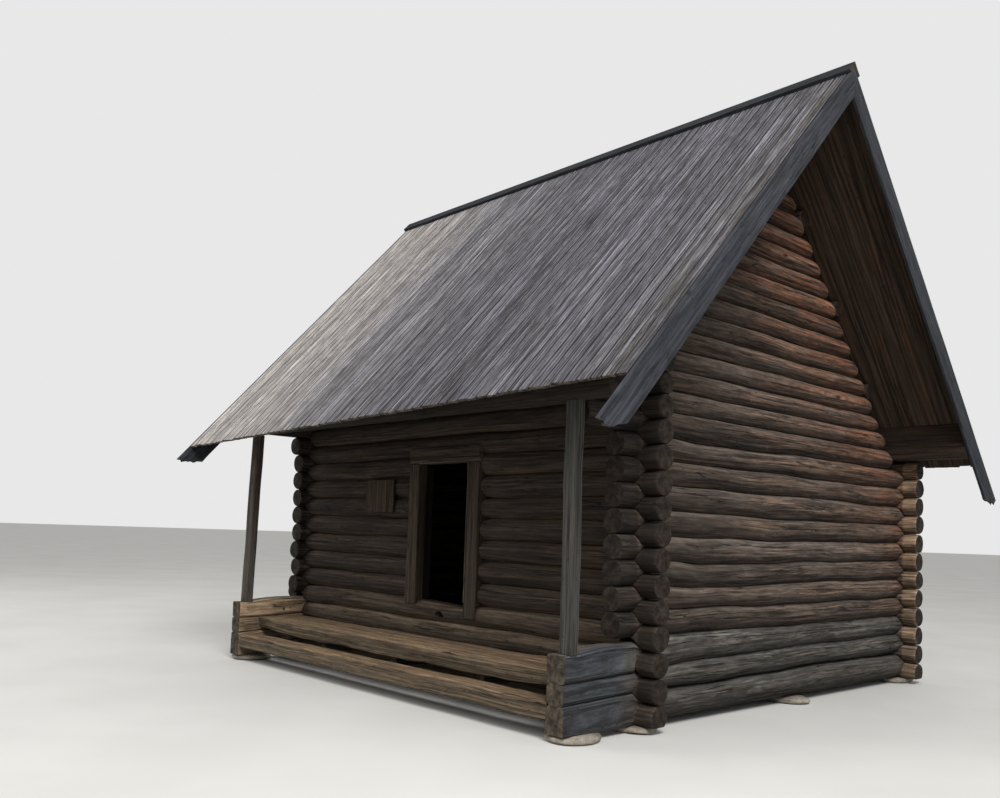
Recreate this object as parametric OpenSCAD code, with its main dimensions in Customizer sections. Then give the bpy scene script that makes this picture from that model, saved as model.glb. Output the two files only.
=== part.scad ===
// Raised log granary with a sheltered porch and a steep plank roof.
// Millimetres. Origin: on the ground below the middle of the ridge.
// +X runs along the ridge to the right, -Y is the door side, +Z is up.

/* [Log box] */
// Distance between the centre lines of the two side walls
box_w = 5576; // [5000:2:6200]
// Distance from the ridge line back to the centre line of the back wall
back_wall_y = 3034; // [2700:2:3300]
// Distance from the ridge line forward to the centre line of the front wall
front_wall_y = 1914; // [1750:2:2050]
// Diameter of the wall logs
log_d = 245; // [238:1:252]
// Height of one course of wall logs
course_h = 222.5; // [219:0.5:224]
// Number of courses in the side walls up to the eaves
courses = 12; // [12:1:12]
// Length of a side wall log past the centre line of the front or back wall
side_end = 330; // [280:5:360]
// Length of a front or back wall log past the centre line of the side wall
cross_end = 295; // [250:5:320]
// Diameter of the lowest log of each side wall
sill_log_d = 290; // [280:2:296]
// Height of the lowest front and back logs' centre lines above the foundation stones
first_log_h = 71; // [60:1:90]
// Bevel around the cut ends of the logs
end_bevel = 14; // [8:1:20]

/* [Gables] */
// Height of one course of gable logs
gable_course_h = 196; // [192:1:200]
// Diameter of the gable logs
gable_log_d = 214; // [208:1:218]
// Depth of the gable log ends below the roof's upper face, square to the slope
gable_inset = 312; // [300:1:330]
// Shortest length of the log at the top of the gable
top_log_l = 600; // [400:10:900]
// Least gap between the front wall's top log and the purlin over it
attic_gap = 5; // [2:1:30]

/* [Porch] */
// Distance from the ridge line forward to the front ends of the wings
wing_front_y = 2886; // [2760:2:3000]
// Number of side wall logs that run forward as wings
wing_courses = 3; // [3:1:3]
// Height of the porch floor above the ground
porch_h = 528; // [510:1:536]
// Thickness of the porch planks
porch_plank_t = 180; // [150:2:184]
// Number of porch planks
porch_planks_n = 2; // [2:1:4]
// Width of the short timbers under the porch planks
bearer_w = 120; // [90:5:150]
// Height of the short timbers under the porch planks
bearer_h = 110; // [90:5:120]
// Distance from the front of the porch planks back to the short timbers under them
bearer_in = 150; // [100:10:200]
// Gap between the step beam and the front of the porch planks
porch_gap = 5; // [2:1:12]
// Gap between neighbouring boards and planks
board_gap = 4; // [2:1:8]
// Height of the step beam
step_h = 165; // [140:5:180]
// Depth of the step beam from front to back
step_d = 248; // [180:4:248]
// Height of the underside of the step beam above the ground
step_z = 160; // [150:5:165]
// Depth to which beams and planks are let into the wing logs
housing = 45; // [30:5:60]
// Width of the square posts along the front
post_w = 145; // [120:5:180]
// Depth of the square posts
post_d = 102; // [90:2:130]
// Distance from the wing fronts back to the posts
post_setback = 50; // [40:2:80]
// Distance from the right wall's centre line out to the right post's middle
right_post_out = 40; // [0:5:60]
// Distance from the left wall's centre line out to the left post's middle
left_post_out = 20; // [0:5:60]
// Height of the seats that the posts stand on
post_seat_z = 705; // [690:5:715]
// Length of the seats behind the posts
seat_over = 25; // [15:5:40]
// Height of the eave plate's underside above the centre lines of the top side logs
plate_lift = 76; // [60:1:90]
// Distance from the front faces of the posts forward to the front of the eave plate
plate_out = 30; // [10:5:40]
// Depth of the eave plate from front to back
plate_d = 172; // [150:2:190]
// Height of the eave plate
plate_h = 195; // [175:5:215]
// Length of the eave plate past the centre line of the right wall
plate_over = 470; // [300:10:600]
// Gap between the left end of the eave plate and the bargeboard
plate_end_gap = 25; // [15:5:60]

/* [Doorway] */
// Place of the middle of the doorway along the front wall
door_x = 44; // [-200:4:400]
// Clear width of the doorway
door_w = 840; // [700:2:900]
// Height of the doorway's sill above the ground
door_sill_z = 900; // [890:1:910]
// Clear height of the doorway
door_h = 1490; // [1400:5:1700]
// Width of a door jamb's face
jamb_w = 186; // [130:2:190]
// Depth of the door jambs
jamb_d = 270; // [255:5:290]
// Height of the door head
head_h = 180; // [150:5:220]
// Distance from the middle of the doorway left to the middle of the cat hole
cat_hole_left = 0; // [0:5:150]
// Width of the cat hole in the sill log
cat_hole_w = 150; // [120:2:170]
// Height of the cat hole's flat bottom above the ground
cat_hole_z = 736; // [735:1:750]

/* [Floor] */
// Height of the floor inside above the ground
floor_h = 700; // [680:5:720]
// Thickness of the floor planks
floor_t = 50; // [40:2:60]
// Number of floor planks
floor_planks_n = 20; // [16:1:24]
// Gap between the floor planks and the walls
floor_gap = 10; // [5:1:20]
// Distance from the walls to the first and last floor joist
joist_in = 200; // [150:10:300]
// Width of the floor joists
joist_w = 130; // [110:5:150]
// Height of the floor joists
joist_h = 150; // [130:5:160]
// Number of floor joists
joists_n = 4; // [3:1:6]

/* [Roof] */
// Length of the roof past the centre line of the right wall
right_over = 982; // [900:2:1060]
// Length of the roof past the centre line of the left wall
left_over = 762; // [700:2:840]
// Pitch of the front slope in degrees
front_pitch = 47.2; // [46.5:0.1:48]
// Gap between the top log of the back wall and the boards over it
back_clear = 7; // [3:1:15]
// Run of the front planks past the fronts of the wings, at the right end
eave_over = 301; // [250:1:340]
// Extra length of the front planks at the left end
front_extra = 350; // [0:10:380]
// Distance by which the roof's left front corner stands in from the straight edge
rake_in = 360; // [0:10:380]
// Run of the back planks past the centre line of the back wall
back_over = 196; // [160:1:240]
// Thickness of the roof planks
roof_t = 28; // [24:1:32]
// Thickness of the boards under the roof planks
under_t = 25; // [20:1:28]
// Distance from the lower ends of the roof planks up to the ends of the boards under them
under_back = 40; // [20:5:80]
// Diameter of the purlins
purlin_d = 200; // [190:2:210]
// Number of purlins on each slope between the ridge and the eaves
purlins_n = 3; // [2:1:4]
// Length of the purlins past the centre lines of the side walls
purlin_over = 20; // [10:5:40]
// Width of the bargeboards at the ridge
barge_top_w = 207; // [190:1:220]
// Width of the bargeboards at their lower ends
barge_low_w = 245; // [230:1:260]
// Thickness of the bargeboards
barge_t = 40; // [30:2:50]
// Length of the right front bargeboard past the planks' lower end
front_tail = 529; // [450:1:600]
// Extra length of the left front bargeboard
barge_extra = 70; // [0:5:100]
// Length of the back bargeboards past the planks' lower ends
back_tail = 561; // [450:1:620]
// Slant of the bargeboards' cut ends, as a share of their width
tail_slant = 0.9; // [0.6:0.05:1.1]
// Width of the ridge boards
ridge_board_w = 110; // [90:5:180]
// Thickness of the ridge boards
ridge_board_t = 40; // [28:1:44]
// Length of the ridge boards past the bargeboards
ridge_over = 0; // [0:1:30]
// Distance from the back wall's centre line forward to the inner face of the back plate
back_plate_in = 290; // [280:2:300]
// Depth of the back plate from front to back
back_plate_d = 210; // [190:5:220]

/* [Foundation] */
// Thickness of the foundation stones
stone_t = 65; // [60:1:70]
// Width of the foundation stones
stone_w = 520; // [420:10:560]
// Distance from the wing fronts back to the middle of the stones under them
wing_stone_in = 220; // [200:5:260]
// Depth to which the lowest side logs are bedded on the stones
bedding = 5; // [3:1:10]
// Number of stones between the corners of a long wall
mid_stones = 1; // [1:1:2]

/* [Fits] */
// Gap left between timbers that rest on each other
fit = 0.4; // [0.3:0.1:0.6]

/* [Hidden] */
$fn = 48;
far = 20000;

// Walls
roof_x = (box_w + left_over + right_over) / 2;
wall_l = -roof_x + left_over;
wall_r = roof_x - right_over;
box_x = (wall_l + wall_r) / 2;
log_r = log_d / 2;
sill_r = sill_log_d / 2;
gable_r = gable_log_d / 2;
purlin_r = purlin_d / 2;
front_y = -front_wall_y;
back_y = back_wall_y;
wing_y = -wing_front_y;
cross_x0 = wall_l - cross_end;
cross_x1 = wall_r + cross_end;
side_y0 = front_y - side_end;
side_y1 = back_y + side_end;

// Heights of the log centre lines
sill_z = stone_t - bedding + sill_r;
cross_z0 = stone_t + first_log_h;
side_z0 = cross_z0 + course_h / 2;
eave_log_z = side_z0 + (courses - 1) * course_h;
gable_z0 = eave_log_z + (course_h + gable_course_h) / 2;

// Doorway
door_x0 = door_x - door_w / 2;
door_x1 = door_x + door_w / 2;
frame_x0 = door_x0 - jamb_w;
frame_x1 = door_x1 + jamb_w;
frame_y0 = front_y - jamb_d / 2;
frame_y1 = front_y + jamb_d / 2;
door_top_z = door_sill_z + door_h;
head_z1 = door_top_z + head_h;
sill_courses = ceil((door_sill_z - cross_z0) / course_h);
head_course = ceil((head_z1 - cross_z0) / course_h);

// Porch
step_y0 = wing_y + bedding;
step_y1 = step_y0 + step_d;
porch_y0 = step_y1 + porch_gap;
porch_y1 = front_y - log_r - board_gap / 2;
porch_plank_w = (porch_y1 - porch_y0 - (porch_planks_n - 1) * board_gap) / porch_planks_n;
post_y0 = wing_y + post_setback;
post_y1 = post_y0 + post_d;
plate_y0 = post_y0 - plate_out;
plate_y1 = plate_y0 + plate_d;
plate_y = (plate_y0 + plate_y1) / 2;
plate_z = eave_log_z + plate_lift;
plate_z1 = plate_z + plate_h;

// Roof, depths measured square to the slope from the upper face of the planks
under_top = roof_t + fit;
under_bottom = under_top + under_t;
purlin_axis = under_bottom + fit + purlin_r;
eave_purlin_z = plate_z1 + fit + purlin_r;
ridge_z = eave_purlin_z + purlin_axis / cos(front_pitch) - plate_y * tan(front_pitch);
back_top_z = cross_z0 + (courses - 1) * course_h;
back_reach = norm([ridge_z - back_top_z, back_y]);
back_pitch = acos((under_bottom + back_clear + log_r) / back_reach) - atan2(back_y, ridge_z - back_top_z);
front_len = (wing_front_y + eave_over) / cos(front_pitch);
back_len = (back_wall_y + back_over) / cos(back_pitch);
left_len = front_len + front_extra;
rake_turn = atan(rake_in / left_len);
planks_x = roof_x - barge_t - fit;
eave_u = -plate_y / cos(front_pitch);
plate_x0 = -roof_x + barge_t + rake_in * eave_u / left_len + plate_end_gap;
plate_x1 = wall_r + plate_over;
over_ridge = barge_top_w;

// Gables and upper front wall
eave_log_y1 = slope_y(1, eave_log_z, gable_inset);
gable_reach = 1 / tan(front_pitch) + 1 / tan(back_pitch);
gable_apex_z = ridge_z - gable_inset / cos(max(front_pitch, back_pitch));
gable_logs = floor((gable_apex_z - top_log_l / gable_reach - gable_z0) / gable_course_h) + 1;
attic_z = slope_z(-1, front_y, purlin_axis) - purlin_r - attic_gap - gable_r;
upper_logs = floor((attic_z - gable_z0) / gable_course_h + 0.5);
front_courses = courses + 1 + upper_logs;

// Floor
inner_x0 = wall_l + log_r + floor_gap;
inner_x1 = wall_r - log_r - floor_gap;
inner_y0 = front_y + log_r + floor_gap;
inner_y1 = back_y - log_r - floor_gap;

function side_z(i) = i == 0 ? sill_z : side_z0 + i * course_h;
function side_r(i) = i == 0 ? sill_r : log_r;
function cross_z(j) = j <= courses ? cross_z0 + j * course_h : gable_z0 + (j - courses - 0.5) * gable_course_h;
function cross_r(j) = j <= courses ? log_r : gable_r;
function gable_z(k) = gable_z0 + k * gable_course_h;
// The side or gable log that front wall log number j is saddled over
function under_cross_z(j) = j <= courses ? side_z(j - 1) : gable_z(j - courses - 1);
function under_cross_r(j) = j <= courses ? side_r(j - 1) : gable_r;
function pitch(side) = side < 0 ? front_pitch : back_pitch;
function slope_len(side) = side < 0 ? front_len : back_len;
// Distance from the ridge line, at height z, of a face that lies this deep below the roof's upper face
function slope_y(side, z, depth) = side * (ridge_z - depth / cos(pitch(side)) - z) / tan(pitch(side));
// Height of such a face at the distance y from the ridge line
function slope_z(side, y, depth) = ridge_z - depth / cos(pitch(side)) - abs(y) * tan(pitch(side));
// Purlin number i, counted down from the ridge; the lowest on the front slope lies over the front wall
function purlin_y(side, i) = side < 0 ? front_y * (i + 1) / purlins_n : back_y * (i + 1) / (purlins_n + 1);
function purlin_z(side, i) = slope_z(side, purlin_y(side, i), purlin_axis);

// A log with bevelled ends that starts at the origin and runs along +Z
module log_body(r, len) {
    b = end_bevel;
    rotate_extrude()
        polygon([[0, 0], [r - b, 0], [r, b], [r, len - b], [r - b, len], [0, len]]);
}

// A log along X between x0 and x1
module log_x(x0, x1, y, z, r) {
    translate([x0, y, z]) rotate([0, 90, 0]) log_body(r, x1 - x0);
}

// A log along Y between y0 and y1
module log_y(x, y0, y1, z, r) {
    translate([x, y0, z]) rotate([-90, 0, 0]) log_body(r, y1 - y0);
}

// The space taken by a log along X, with the fit around it
module room_x(y, z, r) {
    translate([-far / 2, y, z]) rotate([0, 90, 0]) cylinder(r = r + fit, h = far);
}

// The space taken by a log along Y, with the fit around it
module room_y(x, z, r) {
    translate([x, -far / 2, z]) rotate([-90, 0, 0]) cylinder(r = r + fit, h = far);
}

// The same log space at both side walls
module rooms_y(z, r) {
    room_y(wall_l, z, r);
    room_y(wall_r, z, r);
}

// A box given by its lowest and highest corners
module box(a, b) {
    translate(a) cube(b - a);
}

// Side wall log number i, saddled over the front and back logs and grooved over the log below
module side_log(x, i, y0, y1) {
    difference() {
        log_y(x, y0, y1, side_z(i), side_r(i));
        room_x(front_y, cross_z(i), log_r);
        if (y1 > back_y) room_x(back_y, cross_z(i), log_r);
        if (i > 0) room_y(x, side_z(i - 1), side_r(i - 1));
    }
}

// Front or back wall log number j, saddled over the side logs and grooved over the log below
module cross_log(y, j, x0, x1) {
    difference() {
        log_x(x0, x1, y, cross_z(j), cross_r(j));
        if (j > 0) rooms_y(under_cross_z(j), under_cross_r(j));
        if (j > 0) room_x(y, cross_z(j - 1), cross_r(j - 1));
        if (j == 0) box([-far / 2, y - far, -far], [far / 2, y + far, stone_t + fit]);
    }
}

// The lowest logs of a side wall, which run forward as the wing of the porch
module wing_logs(x) {
    difference() {
        for (i = [0 : wing_courses - 1]) side_log(x, i, wing_y, side_y1);
        porch_planks_at(fit);
        step_at(fit);
        joists_at(fit);
        box([x - far, wing_y - far, post_seat_z], [x + far, post_y1 + seat_over, post_seat_z + far]);
        box([x - far, -far, -far], [x + far, far, stone_t + fit]);
    }
}

// The side wall above the wings, with its top log run forward to the eave plate
module wall_logs(x) {
    for (i = [wing_courses : courses - 2]) side_log(x, i, side_y0, side_y1);
    side_log(x, courses - 1, plate_y1 + fit, eave_log_y1);
}

// The space taken by a purlin, with the fit around it
module purlin_room(side, i) {
    x0 = wall_l - purlin_over - fit;
    x1 = wall_r + purlin_over + fit;
    translate([x0, purlin_y(side, i), purlin_z(side, i)])
        rotate([0, 90, 0]) cylinder(r = purlin_r + fit, h = x1 - x0);
}

// The log gable, each log cut back under the slopes
module gable(x) {
    for (k = [0 : gable_logs - 1]) {
        z = gable_z(k);
        difference() {
            log_y(x, max(slope_y(-1, z, gable_inset), plate_y1 + fit), slope_y(1, z, gable_inset), z, gable_r);
            if (k == 0) room_y(x, eave_log_z, log_r);
            if (k > 0) room_y(x, gable_z(k - 1), gable_r);
            if (k < upper_logs + 1) room_x(front_y, cross_z(courses + k), cross_r(courses + k));
            for (side = [-1, 1])
                for (i = [0 : purlins_n - 1])
                    if (abs(purlin_z(side, i) - z) < gable_r + purlin_r)
                        purlin_room(side, i);
        }
    }
}

module front_sill() {
    difference() {
        for (j = [0 : sill_courses - 1]) cross_log(front_y, j, cross_x0, cross_x1);
        box([frame_x0 - fit, front_y - far, door_sill_z], [frame_x1 + fit, front_y + far, far]);
        cat_hole();
    }
}

// Half round hole through the sill log
module cat_hole() {
    translate([door_x - cat_hole_left, front_y, cat_hole_z])
        rotate([90, 0, 0])
            intersection() {
                cylinder(d = cat_hole_w, h = far, center = true);
                box([-cat_hole_w, 0, -far], [cat_hole_w, cat_hole_w, far]);
            }
}

// The front wall beside the doorway
module front_side(x0, x1) {
    for (j = [sill_courses : head_course - 1])
        difference() {
            cross_log(front_y, j, x0, x1);
            frame_space();
        }
}

// The front wall over the doorway, up to the roof
module front_top() {
    difference() {
        cross_log(front_y, head_course, cross_x0, cross_x1);
        frame_space();
    }
    for (j = [head_course + 1 : front_courses - 1]) cross_log(front_y, j, cross_x0, cross_x1);
}

// The space taken by the door frame, with the fit around it
module frame_space() {
    box([frame_x0 - fit, front_y - far, door_sill_z - fit], [frame_x1 + fit, front_y + far, head_z1 + fit]);
}

module back_wall() {
    for (j = [0 : courses - 1]) cross_log(back_y, j, cross_x0, cross_x1);
}

module jamb(x0) {
    box([x0, frame_y0, door_sill_z + fit], [x0 + jamb_w, frame_y1, door_top_z - fit]);
}

module door_head() {
    box([frame_x0, frame_y0, door_top_z], [frame_x1, frame_y1, head_z1]);
}

// Porch planks, let into the wings by their ends
module porch_planks_at(grow) {
    for (i = [0 : porch_planks_n - 1]) {
        y = porch_y0 + i * (porch_plank_w + board_gap);
        box([wall_l + log_r - housing - grow, y - grow, porch_h - porch_plank_t - grow],
            [wall_r - log_r + housing + grow, y + porch_plank_w + grow, porch_h + grow]);
    }
}

module step_at(grow) {
    box([wall_l + sill_r - housing - grow, step_y0 - grow, step_z - grow],
        [wall_r - sill_r + housing + grow, step_y1 + grow, step_z + step_h + grow]);
}

// Short timbers under the porch planks, scribed to the front wall
module bearers() {
    z1 = porch_h - porch_plank_t - fit;
    for (x = [box_x - box_w / 4, box_x, box_x + box_w / 4])
        difference() {
            box([x - bearer_w / 2, porch_y0 + bearer_in, z1 - bearer_h], [x + bearer_w / 2, front_y, z1]);
            for (j = [0 : 1]) room_x(front_y, cross_z(j), log_r);
        }
}

module post(x) {
    box([x - post_w / 2, post_y0, post_seat_z + fit], [x + post_w / 2, post_y1, plate_z - fit]);
}

module front_plate() {
    box([plate_x0, plate_y0, plate_z], [plate_x1, plate_y1, plate_z1]);
}

// Plate on the back wall, its upper face hewn to the slope
module back_plate() {
    y0 = back_y - back_plate_in;
    y1 = y0 + back_plate_d;
    z0 = back_top_z + log_r - bedding;
    difference() {
        translate([-planks_x, 0, 0]) rotate([90, 0, 90])
            linear_extrude(2 * planks_x)
                polygon([
                    [y0, z0], [y1, z0],
                    [y1, slope_z(1, y1, under_bottom + fit)], [y0, slope_z(1, y0, under_bottom + fit)]
                ]);
        room_x(back_y, cross_z(courses - 1), log_r);
        rooms_y(eave_log_z, log_r);
    }
}

// Floor
module floor_planks() {
    w = (inner_x1 - inner_x0 - (floor_planks_n - 1) * board_gap) / floor_planks_n;
    for (i = [0 : floor_planks_n - 1]) {
        x = inner_x0 + i * (w + board_gap);
        box([x, inner_y0, floor_h - floor_t], [x + w, inner_y1, floor_h]);
    }
}

// Floor joists, let into the side walls by their ends
module joists_at(grow) {
    z = floor_h - floor_t - fit;
    for (i = [0 : joists_n - 1]) {
        y = inner_y0 + joist_in + (inner_y1 - inner_y0 - 2 * joist_in) * i / (joists_n - 1);
        box([wall_l + log_r - housing - grow, y - joist_w / 2 - grow, z - joist_h - grow],
            [wall_r - log_r + housing + grow, y + joist_w / 2 + grow, z + grow]);
    }
}

// Places a shape drawn on the slope: x along the ridge, -y down the slope, z square to it
module on_slope(side) {
    translate([0, 0, ridge_z])
        if (side < 0) rotate([front_pitch, 0, 0]) children();
        else mirror([0, 1, 0]) rotate([back_pitch, 0, 0]) children();
}

// Keeps only the part of a roof piece on its own side of the ridge
module half(side) {
    intersection() {
        children();
        if (side < 0) box([-far, -far, 0], [far, -fit / 2, far]);
        else box([-far, fit / 2, 0], [far, far, far]);
    }
}

// One layer of a slope, from top to bottom below the roof's upper face
module layer(side, top, bottom, short) {
    len_r = slope_len(side) - short;
    len_l = side < 0 ? left_len - short : len_r;
    in = side < 0 ? rake_in : 0;
    x = planks_x;
    half(side) on_slope(side)
        translate([0, 0, -bottom])
            linear_extrude(bottom - top)
                polygon([[-x, over_ridge], [x, over_ridge], [x, 0], [x, -len_r], [in - x, -len_l], [-x, 0]]);
}

// Purlin under the ridge, touching the boards of both slopes
module ridge_purlin() {
    r = purlin_r + fit;
    y = (r / cos(front_pitch) - r / cos(back_pitch)) / (tan(front_pitch) + tan(back_pitch));
    z = ridge_z - (under_bottom + r) / cos(front_pitch) + y * tan(front_pitch);
    log_x(-planks_x, planks_x, y, z, purlin_r);
}

module purlins(side) {
    for (i = [0 : purlins_n - 1])
        log_x(wall_l - purlin_over, wall_r + purlin_over, purlin_y(side, i), purlin_z(side, i), purlin_r);
    if (side < 0) log_x(plate_x0, plate_x1, plate_y, eave_purlin_z, purlin_r);
}

// A bargeboard seen from the side, tapered and cut at the tail
module barge_outline(len) {
    polygon([
        [-over_ridge, 0], [len, 0], [len - barge_t, -barge_low_w * 0.45],
        [len - barge_low_w * tail_slant, -barge_low_w], [0, -barge_top_w], [-over_ridge, -barge_top_w]
    ]);
}

// Bargeboard at the left or right end of a slope
module bargeboard(side, end) {
    len = side > 0 ? back_len + back_tail : front_len + front_tail + (end < 0 ? barge_extra : 0);
    turn = side < 0 && end < 0 ? rake_turn : 0;
    half(side) on_slope(side)
        translate([end * roof_x, 0, 0]) rotate([0, 0, turn])
            translate([end < 0 ? 0 : -barge_t, 0, 0])
                rotate([90, 0, -90]) mirror([0, 0, 1]) linear_extrude(barge_t) barge_outline(len);
}

module ridge_board(side) {
    x = roof_x + ridge_over;
    half(side) on_slope(side)
        box([-x, -ridge_board_w, fit], [x, over_ridge, fit + ridge_board_t]);
}

// A flat field stone with uneven sides
module stone(x, y, turn) {
    translate([x, y, 0]) rotate([0, 0, turn])
        linear_extrude(stone_t)
            polygon([for (a = [0 : 40 : 320])
                [cos(a) * stone_w * (0.5 + 0.05 * sin(3 * a)), sin(a) * stone_w * (0.42 + 0.05 * cos(2 * a))]]);
}

module stones() {
    for (x = [wall_l, wall_r]) {
        stone(x, front_y, 20);
        stone(x, back_y, 75);
        stone(x, wing_y + wing_stone_in, 50);
        for (i = [1 : mid_stones]) stone(x, front_y + (back_y - front_y) * i / (mid_stones + 1), 10);
    }
    for (i = [1 : mid_stones]) {
        x = wall_l + box_w * i / (mid_stones + 1);
        stone(x, front_y, 30);
        stone(x, back_y, 60);
    }
}

color([0.45, 0.43, 0.40]) stones();  // foundation_stones
color([0.40, 0.36, 0.31]) wing_logs(wall_l);  // left_wing_logs
color([0.42, 0.43, 0.44]) wing_logs(wall_r);  // right_wing_logs
color([0.30, 0.25, 0.20]) wall_logs(wall_l);  // left_wall_logs
color([0.32, 0.27, 0.22]) wall_logs(wall_r);  // right_wall_logs
color([0.38, 0.28, 0.20]) gable(wall_l);  // left_gable_logs
color([0.40, 0.29, 0.20]) gable(wall_r);  // right_gable_logs
color([0.36, 0.30, 0.24]) front_sill();  // front_sill_logs
color([0.30, 0.25, 0.20]) front_side(cross_x0, frame_x0 - fit);  // front_wall_left
color([0.31, 0.26, 0.20]) front_side(frame_x1 + fit, cross_x1);  // front_wall_right
color([0.27, 0.23, 0.19]) front_top();  // front_wall_top
color([0.33, 0.29, 0.24]) back_wall();  // back_wall_logs
color([0.38, 0.32, 0.26]) jamb(frame_x0);  // left_jamb
color([0.40, 0.33, 0.27]) jamb(door_x1);  // right_jamb
color([0.33, 0.28, 0.24]) door_head();
color([0.42, 0.36, 0.29]) floor_planks();
color([0.36, 0.31, 0.25]) joists_at(0);  // floor_joists
color([0.46, 0.39, 0.31]) porch_planks_at(0);  // porch_planks
color([0.33, 0.28, 0.23]) bearers();  // porch_bearers
color([0.45, 0.38, 0.30]) step_at(0);  // step_beam
color([0.38, 0.34, 0.28]) post(wall_l - left_post_out);  // left_post
color([0.42, 0.40, 0.36]) post(wall_r + right_post_out);  // right_post
color([0.26, 0.23, 0.20]) front_plate();
color([0.26, 0.23, 0.20]) back_plate();
color([0.30, 0.25, 0.20]) ridge_purlin();
color([0.30, 0.25, 0.20]) purlins(-1);  // front_purlins
color([0.30, 0.25, 0.20]) purlins(1);  // back_purlins
color([0.33, 0.28, 0.22]) layer(-1, under_top, under_bottom, under_back);  // front_under_boards
color([0.35, 0.29, 0.22]) layer(1, under_top, under_bottom, under_back);  // back_under_boards
color([0.50, 0.50, 0.49]) layer(-1, 0, roof_t, 0);  // front_roof_planks
color([0.48, 0.48, 0.47]) layer(1, 0, roof_t, 0);  // back_roof_planks
color([0.40, 0.40, 0.41]) ridge_board(-1);  // front_ridge_board
color([0.40, 0.40, 0.41]) ridge_board(1);  // back_ridge_board
color([0.43, 0.44, 0.46]) bargeboard(-1, -1);  // left_front_bargeboard
color([0.43, 0.44, 0.46]) bargeboard(-1, 1);  // right_front_bargeboard
color([0.43, 0.44, 0.46]) bargeboard(1, -1);  // left_back_bargeboard
color([0.43, 0.44, 0.46]) bargeboard(1, 1);  // right_back_bargeboard
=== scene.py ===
import math

import bpy
import numpy as np
from mathutils import Matrix, Vector


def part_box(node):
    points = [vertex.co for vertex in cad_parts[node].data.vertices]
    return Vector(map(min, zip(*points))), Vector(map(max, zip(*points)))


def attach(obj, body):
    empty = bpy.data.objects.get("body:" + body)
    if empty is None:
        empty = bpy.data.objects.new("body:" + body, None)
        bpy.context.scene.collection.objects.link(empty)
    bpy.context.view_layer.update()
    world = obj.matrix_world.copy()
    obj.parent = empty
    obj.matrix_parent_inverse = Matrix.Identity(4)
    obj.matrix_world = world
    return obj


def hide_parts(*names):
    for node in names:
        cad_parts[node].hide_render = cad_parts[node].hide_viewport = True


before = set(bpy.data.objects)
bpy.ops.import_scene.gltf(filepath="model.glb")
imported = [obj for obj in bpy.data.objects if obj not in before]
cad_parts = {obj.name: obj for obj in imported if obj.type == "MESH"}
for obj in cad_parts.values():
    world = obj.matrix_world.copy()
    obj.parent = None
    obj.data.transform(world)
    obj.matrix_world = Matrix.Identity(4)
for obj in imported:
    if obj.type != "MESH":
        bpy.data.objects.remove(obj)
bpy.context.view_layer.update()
TAU = 2 * math.pi

# Driving sizes of the part. A slope's side is -1 at the front and 1 at the back
WALL_L, WALL_R = -2.898, 2.678
FRONT_Y, BACK_Y, WING_Y = -1.914, 3.034, -2.886
COURSES, WING_COURSES = 12, 3
COURSE_H, GABLE_COURSE_H = 0.2225, 0.196
SILL_Z, CROSS_Z0, SIDE_Z0, GABLE_Z0 = 0.205, 0.136, 0.24725, 2.904
LOG_R, SILL_R, GABLE_R = 0.1225, 0.145, 0.107
FIT, STONE_TOP = 0.0004, 0.0655
POST_SEAT_Z, POST_SEAT_L = 0.705, 0.177
JAMBS_X, DOORWAY_X = (-0.562, 0.650), (-0.376, 0.464)
SILL_TOP, JAMB_TOP, HEAD_LOW, HEAD_TOP = 0.9, 2.3896, 2.3904, 2.5698
RIDGE_Z = 6.29464
PITCH = {-1: math.radians(47.2), 1: math.radians(48.546)}
FRONT_LEN, LEFT_LEN, BACK_LEN = 4.69062, 5.04062, 4.87902
RAKE_IN = 0.36
ROOF_X, PLANKS_X = 3.660, 3.6196
ROOF_T, UNDER_TOP, UNDER_BOTTOM, UNDER_BACK = 0.028, 0.0284, 0.0534, 0.04

# Places and rises of the joints under the upper wing logs, which are hewn unevenly
WING_JOINTS = {
    ("right", 1): ((-2.886, -0.049), (-1.97, -0.014), (-0.9, -0.030), (0.8, 0.0)),
    ("right", 2): ((-2.886, -0.106), (-1.97, -0.074), (-0.9, -0.036), (0.8, 0.0)),
    ("left", 1): ((-2.886, -0.016), (-2.55, 0.008), (-1.9, 0.0)),
    ("left", 2): ((-2.886, -0.064), (-2.55, -0.058), (-1.6, -0.02), (-0.5, 0.0)),
}
# Places and rises of the top of the wings, heights of their joints in front, and half their widths there
WING_TOP = ((-2.709, -2.5, -2.3, -2.1, -1.95, -1.75), (-0.092, -0.068, -0.056, -0.058, -0.05, 0.0))
WING_LEVELS, WING_HALF = (0.0, 0.349, 0.581, 0.815), (0.112, 0.108, 0.104)
# Where log ends stop at the front left corner: the cross logs in x, the side logs and their top one in y
LEFT_CROSS_END, LEFT_SIDE_END, LEFT_TOP_END = -3.062, -2.118, -2.20


# Random lines and surfaces
def seeded(*key):
    return np.random.default_rng([ord(c) for c in "/".join(map(str, key))])


def unit(share):
    return np.clip(share, 0, 1)


def eased(share):
    return share * share * (3 - 2 * share)


def wave(rng, t, longest, shortest, count=6):
    """Smooth random line along t, about -1 to 1."""
    total = np.zeros_like(t, dtype=float)
    for k, length in enumerate(np.geomspace(longest, shortest, count)):
        total += np.sin(TAU * t / length + rng.uniform(0, TAU)) * (0.8 ** k)
    return total / 2.2


def sheet_noise(rng, u, a, longest, shortest, around, count=9):
    """Smooth random surface over u and the angle a, about -1 to 1."""
    total = np.zeros(np.broadcast(u, a).shape)
    for length in np.geomspace(longest, shortest, count):
        m = int(rng.integers(1, around + 1))
        total += np.sin(TAU * u / length + m * a + rng.uniform(0, TAU))
    return total / math.sqrt(count)


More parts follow.
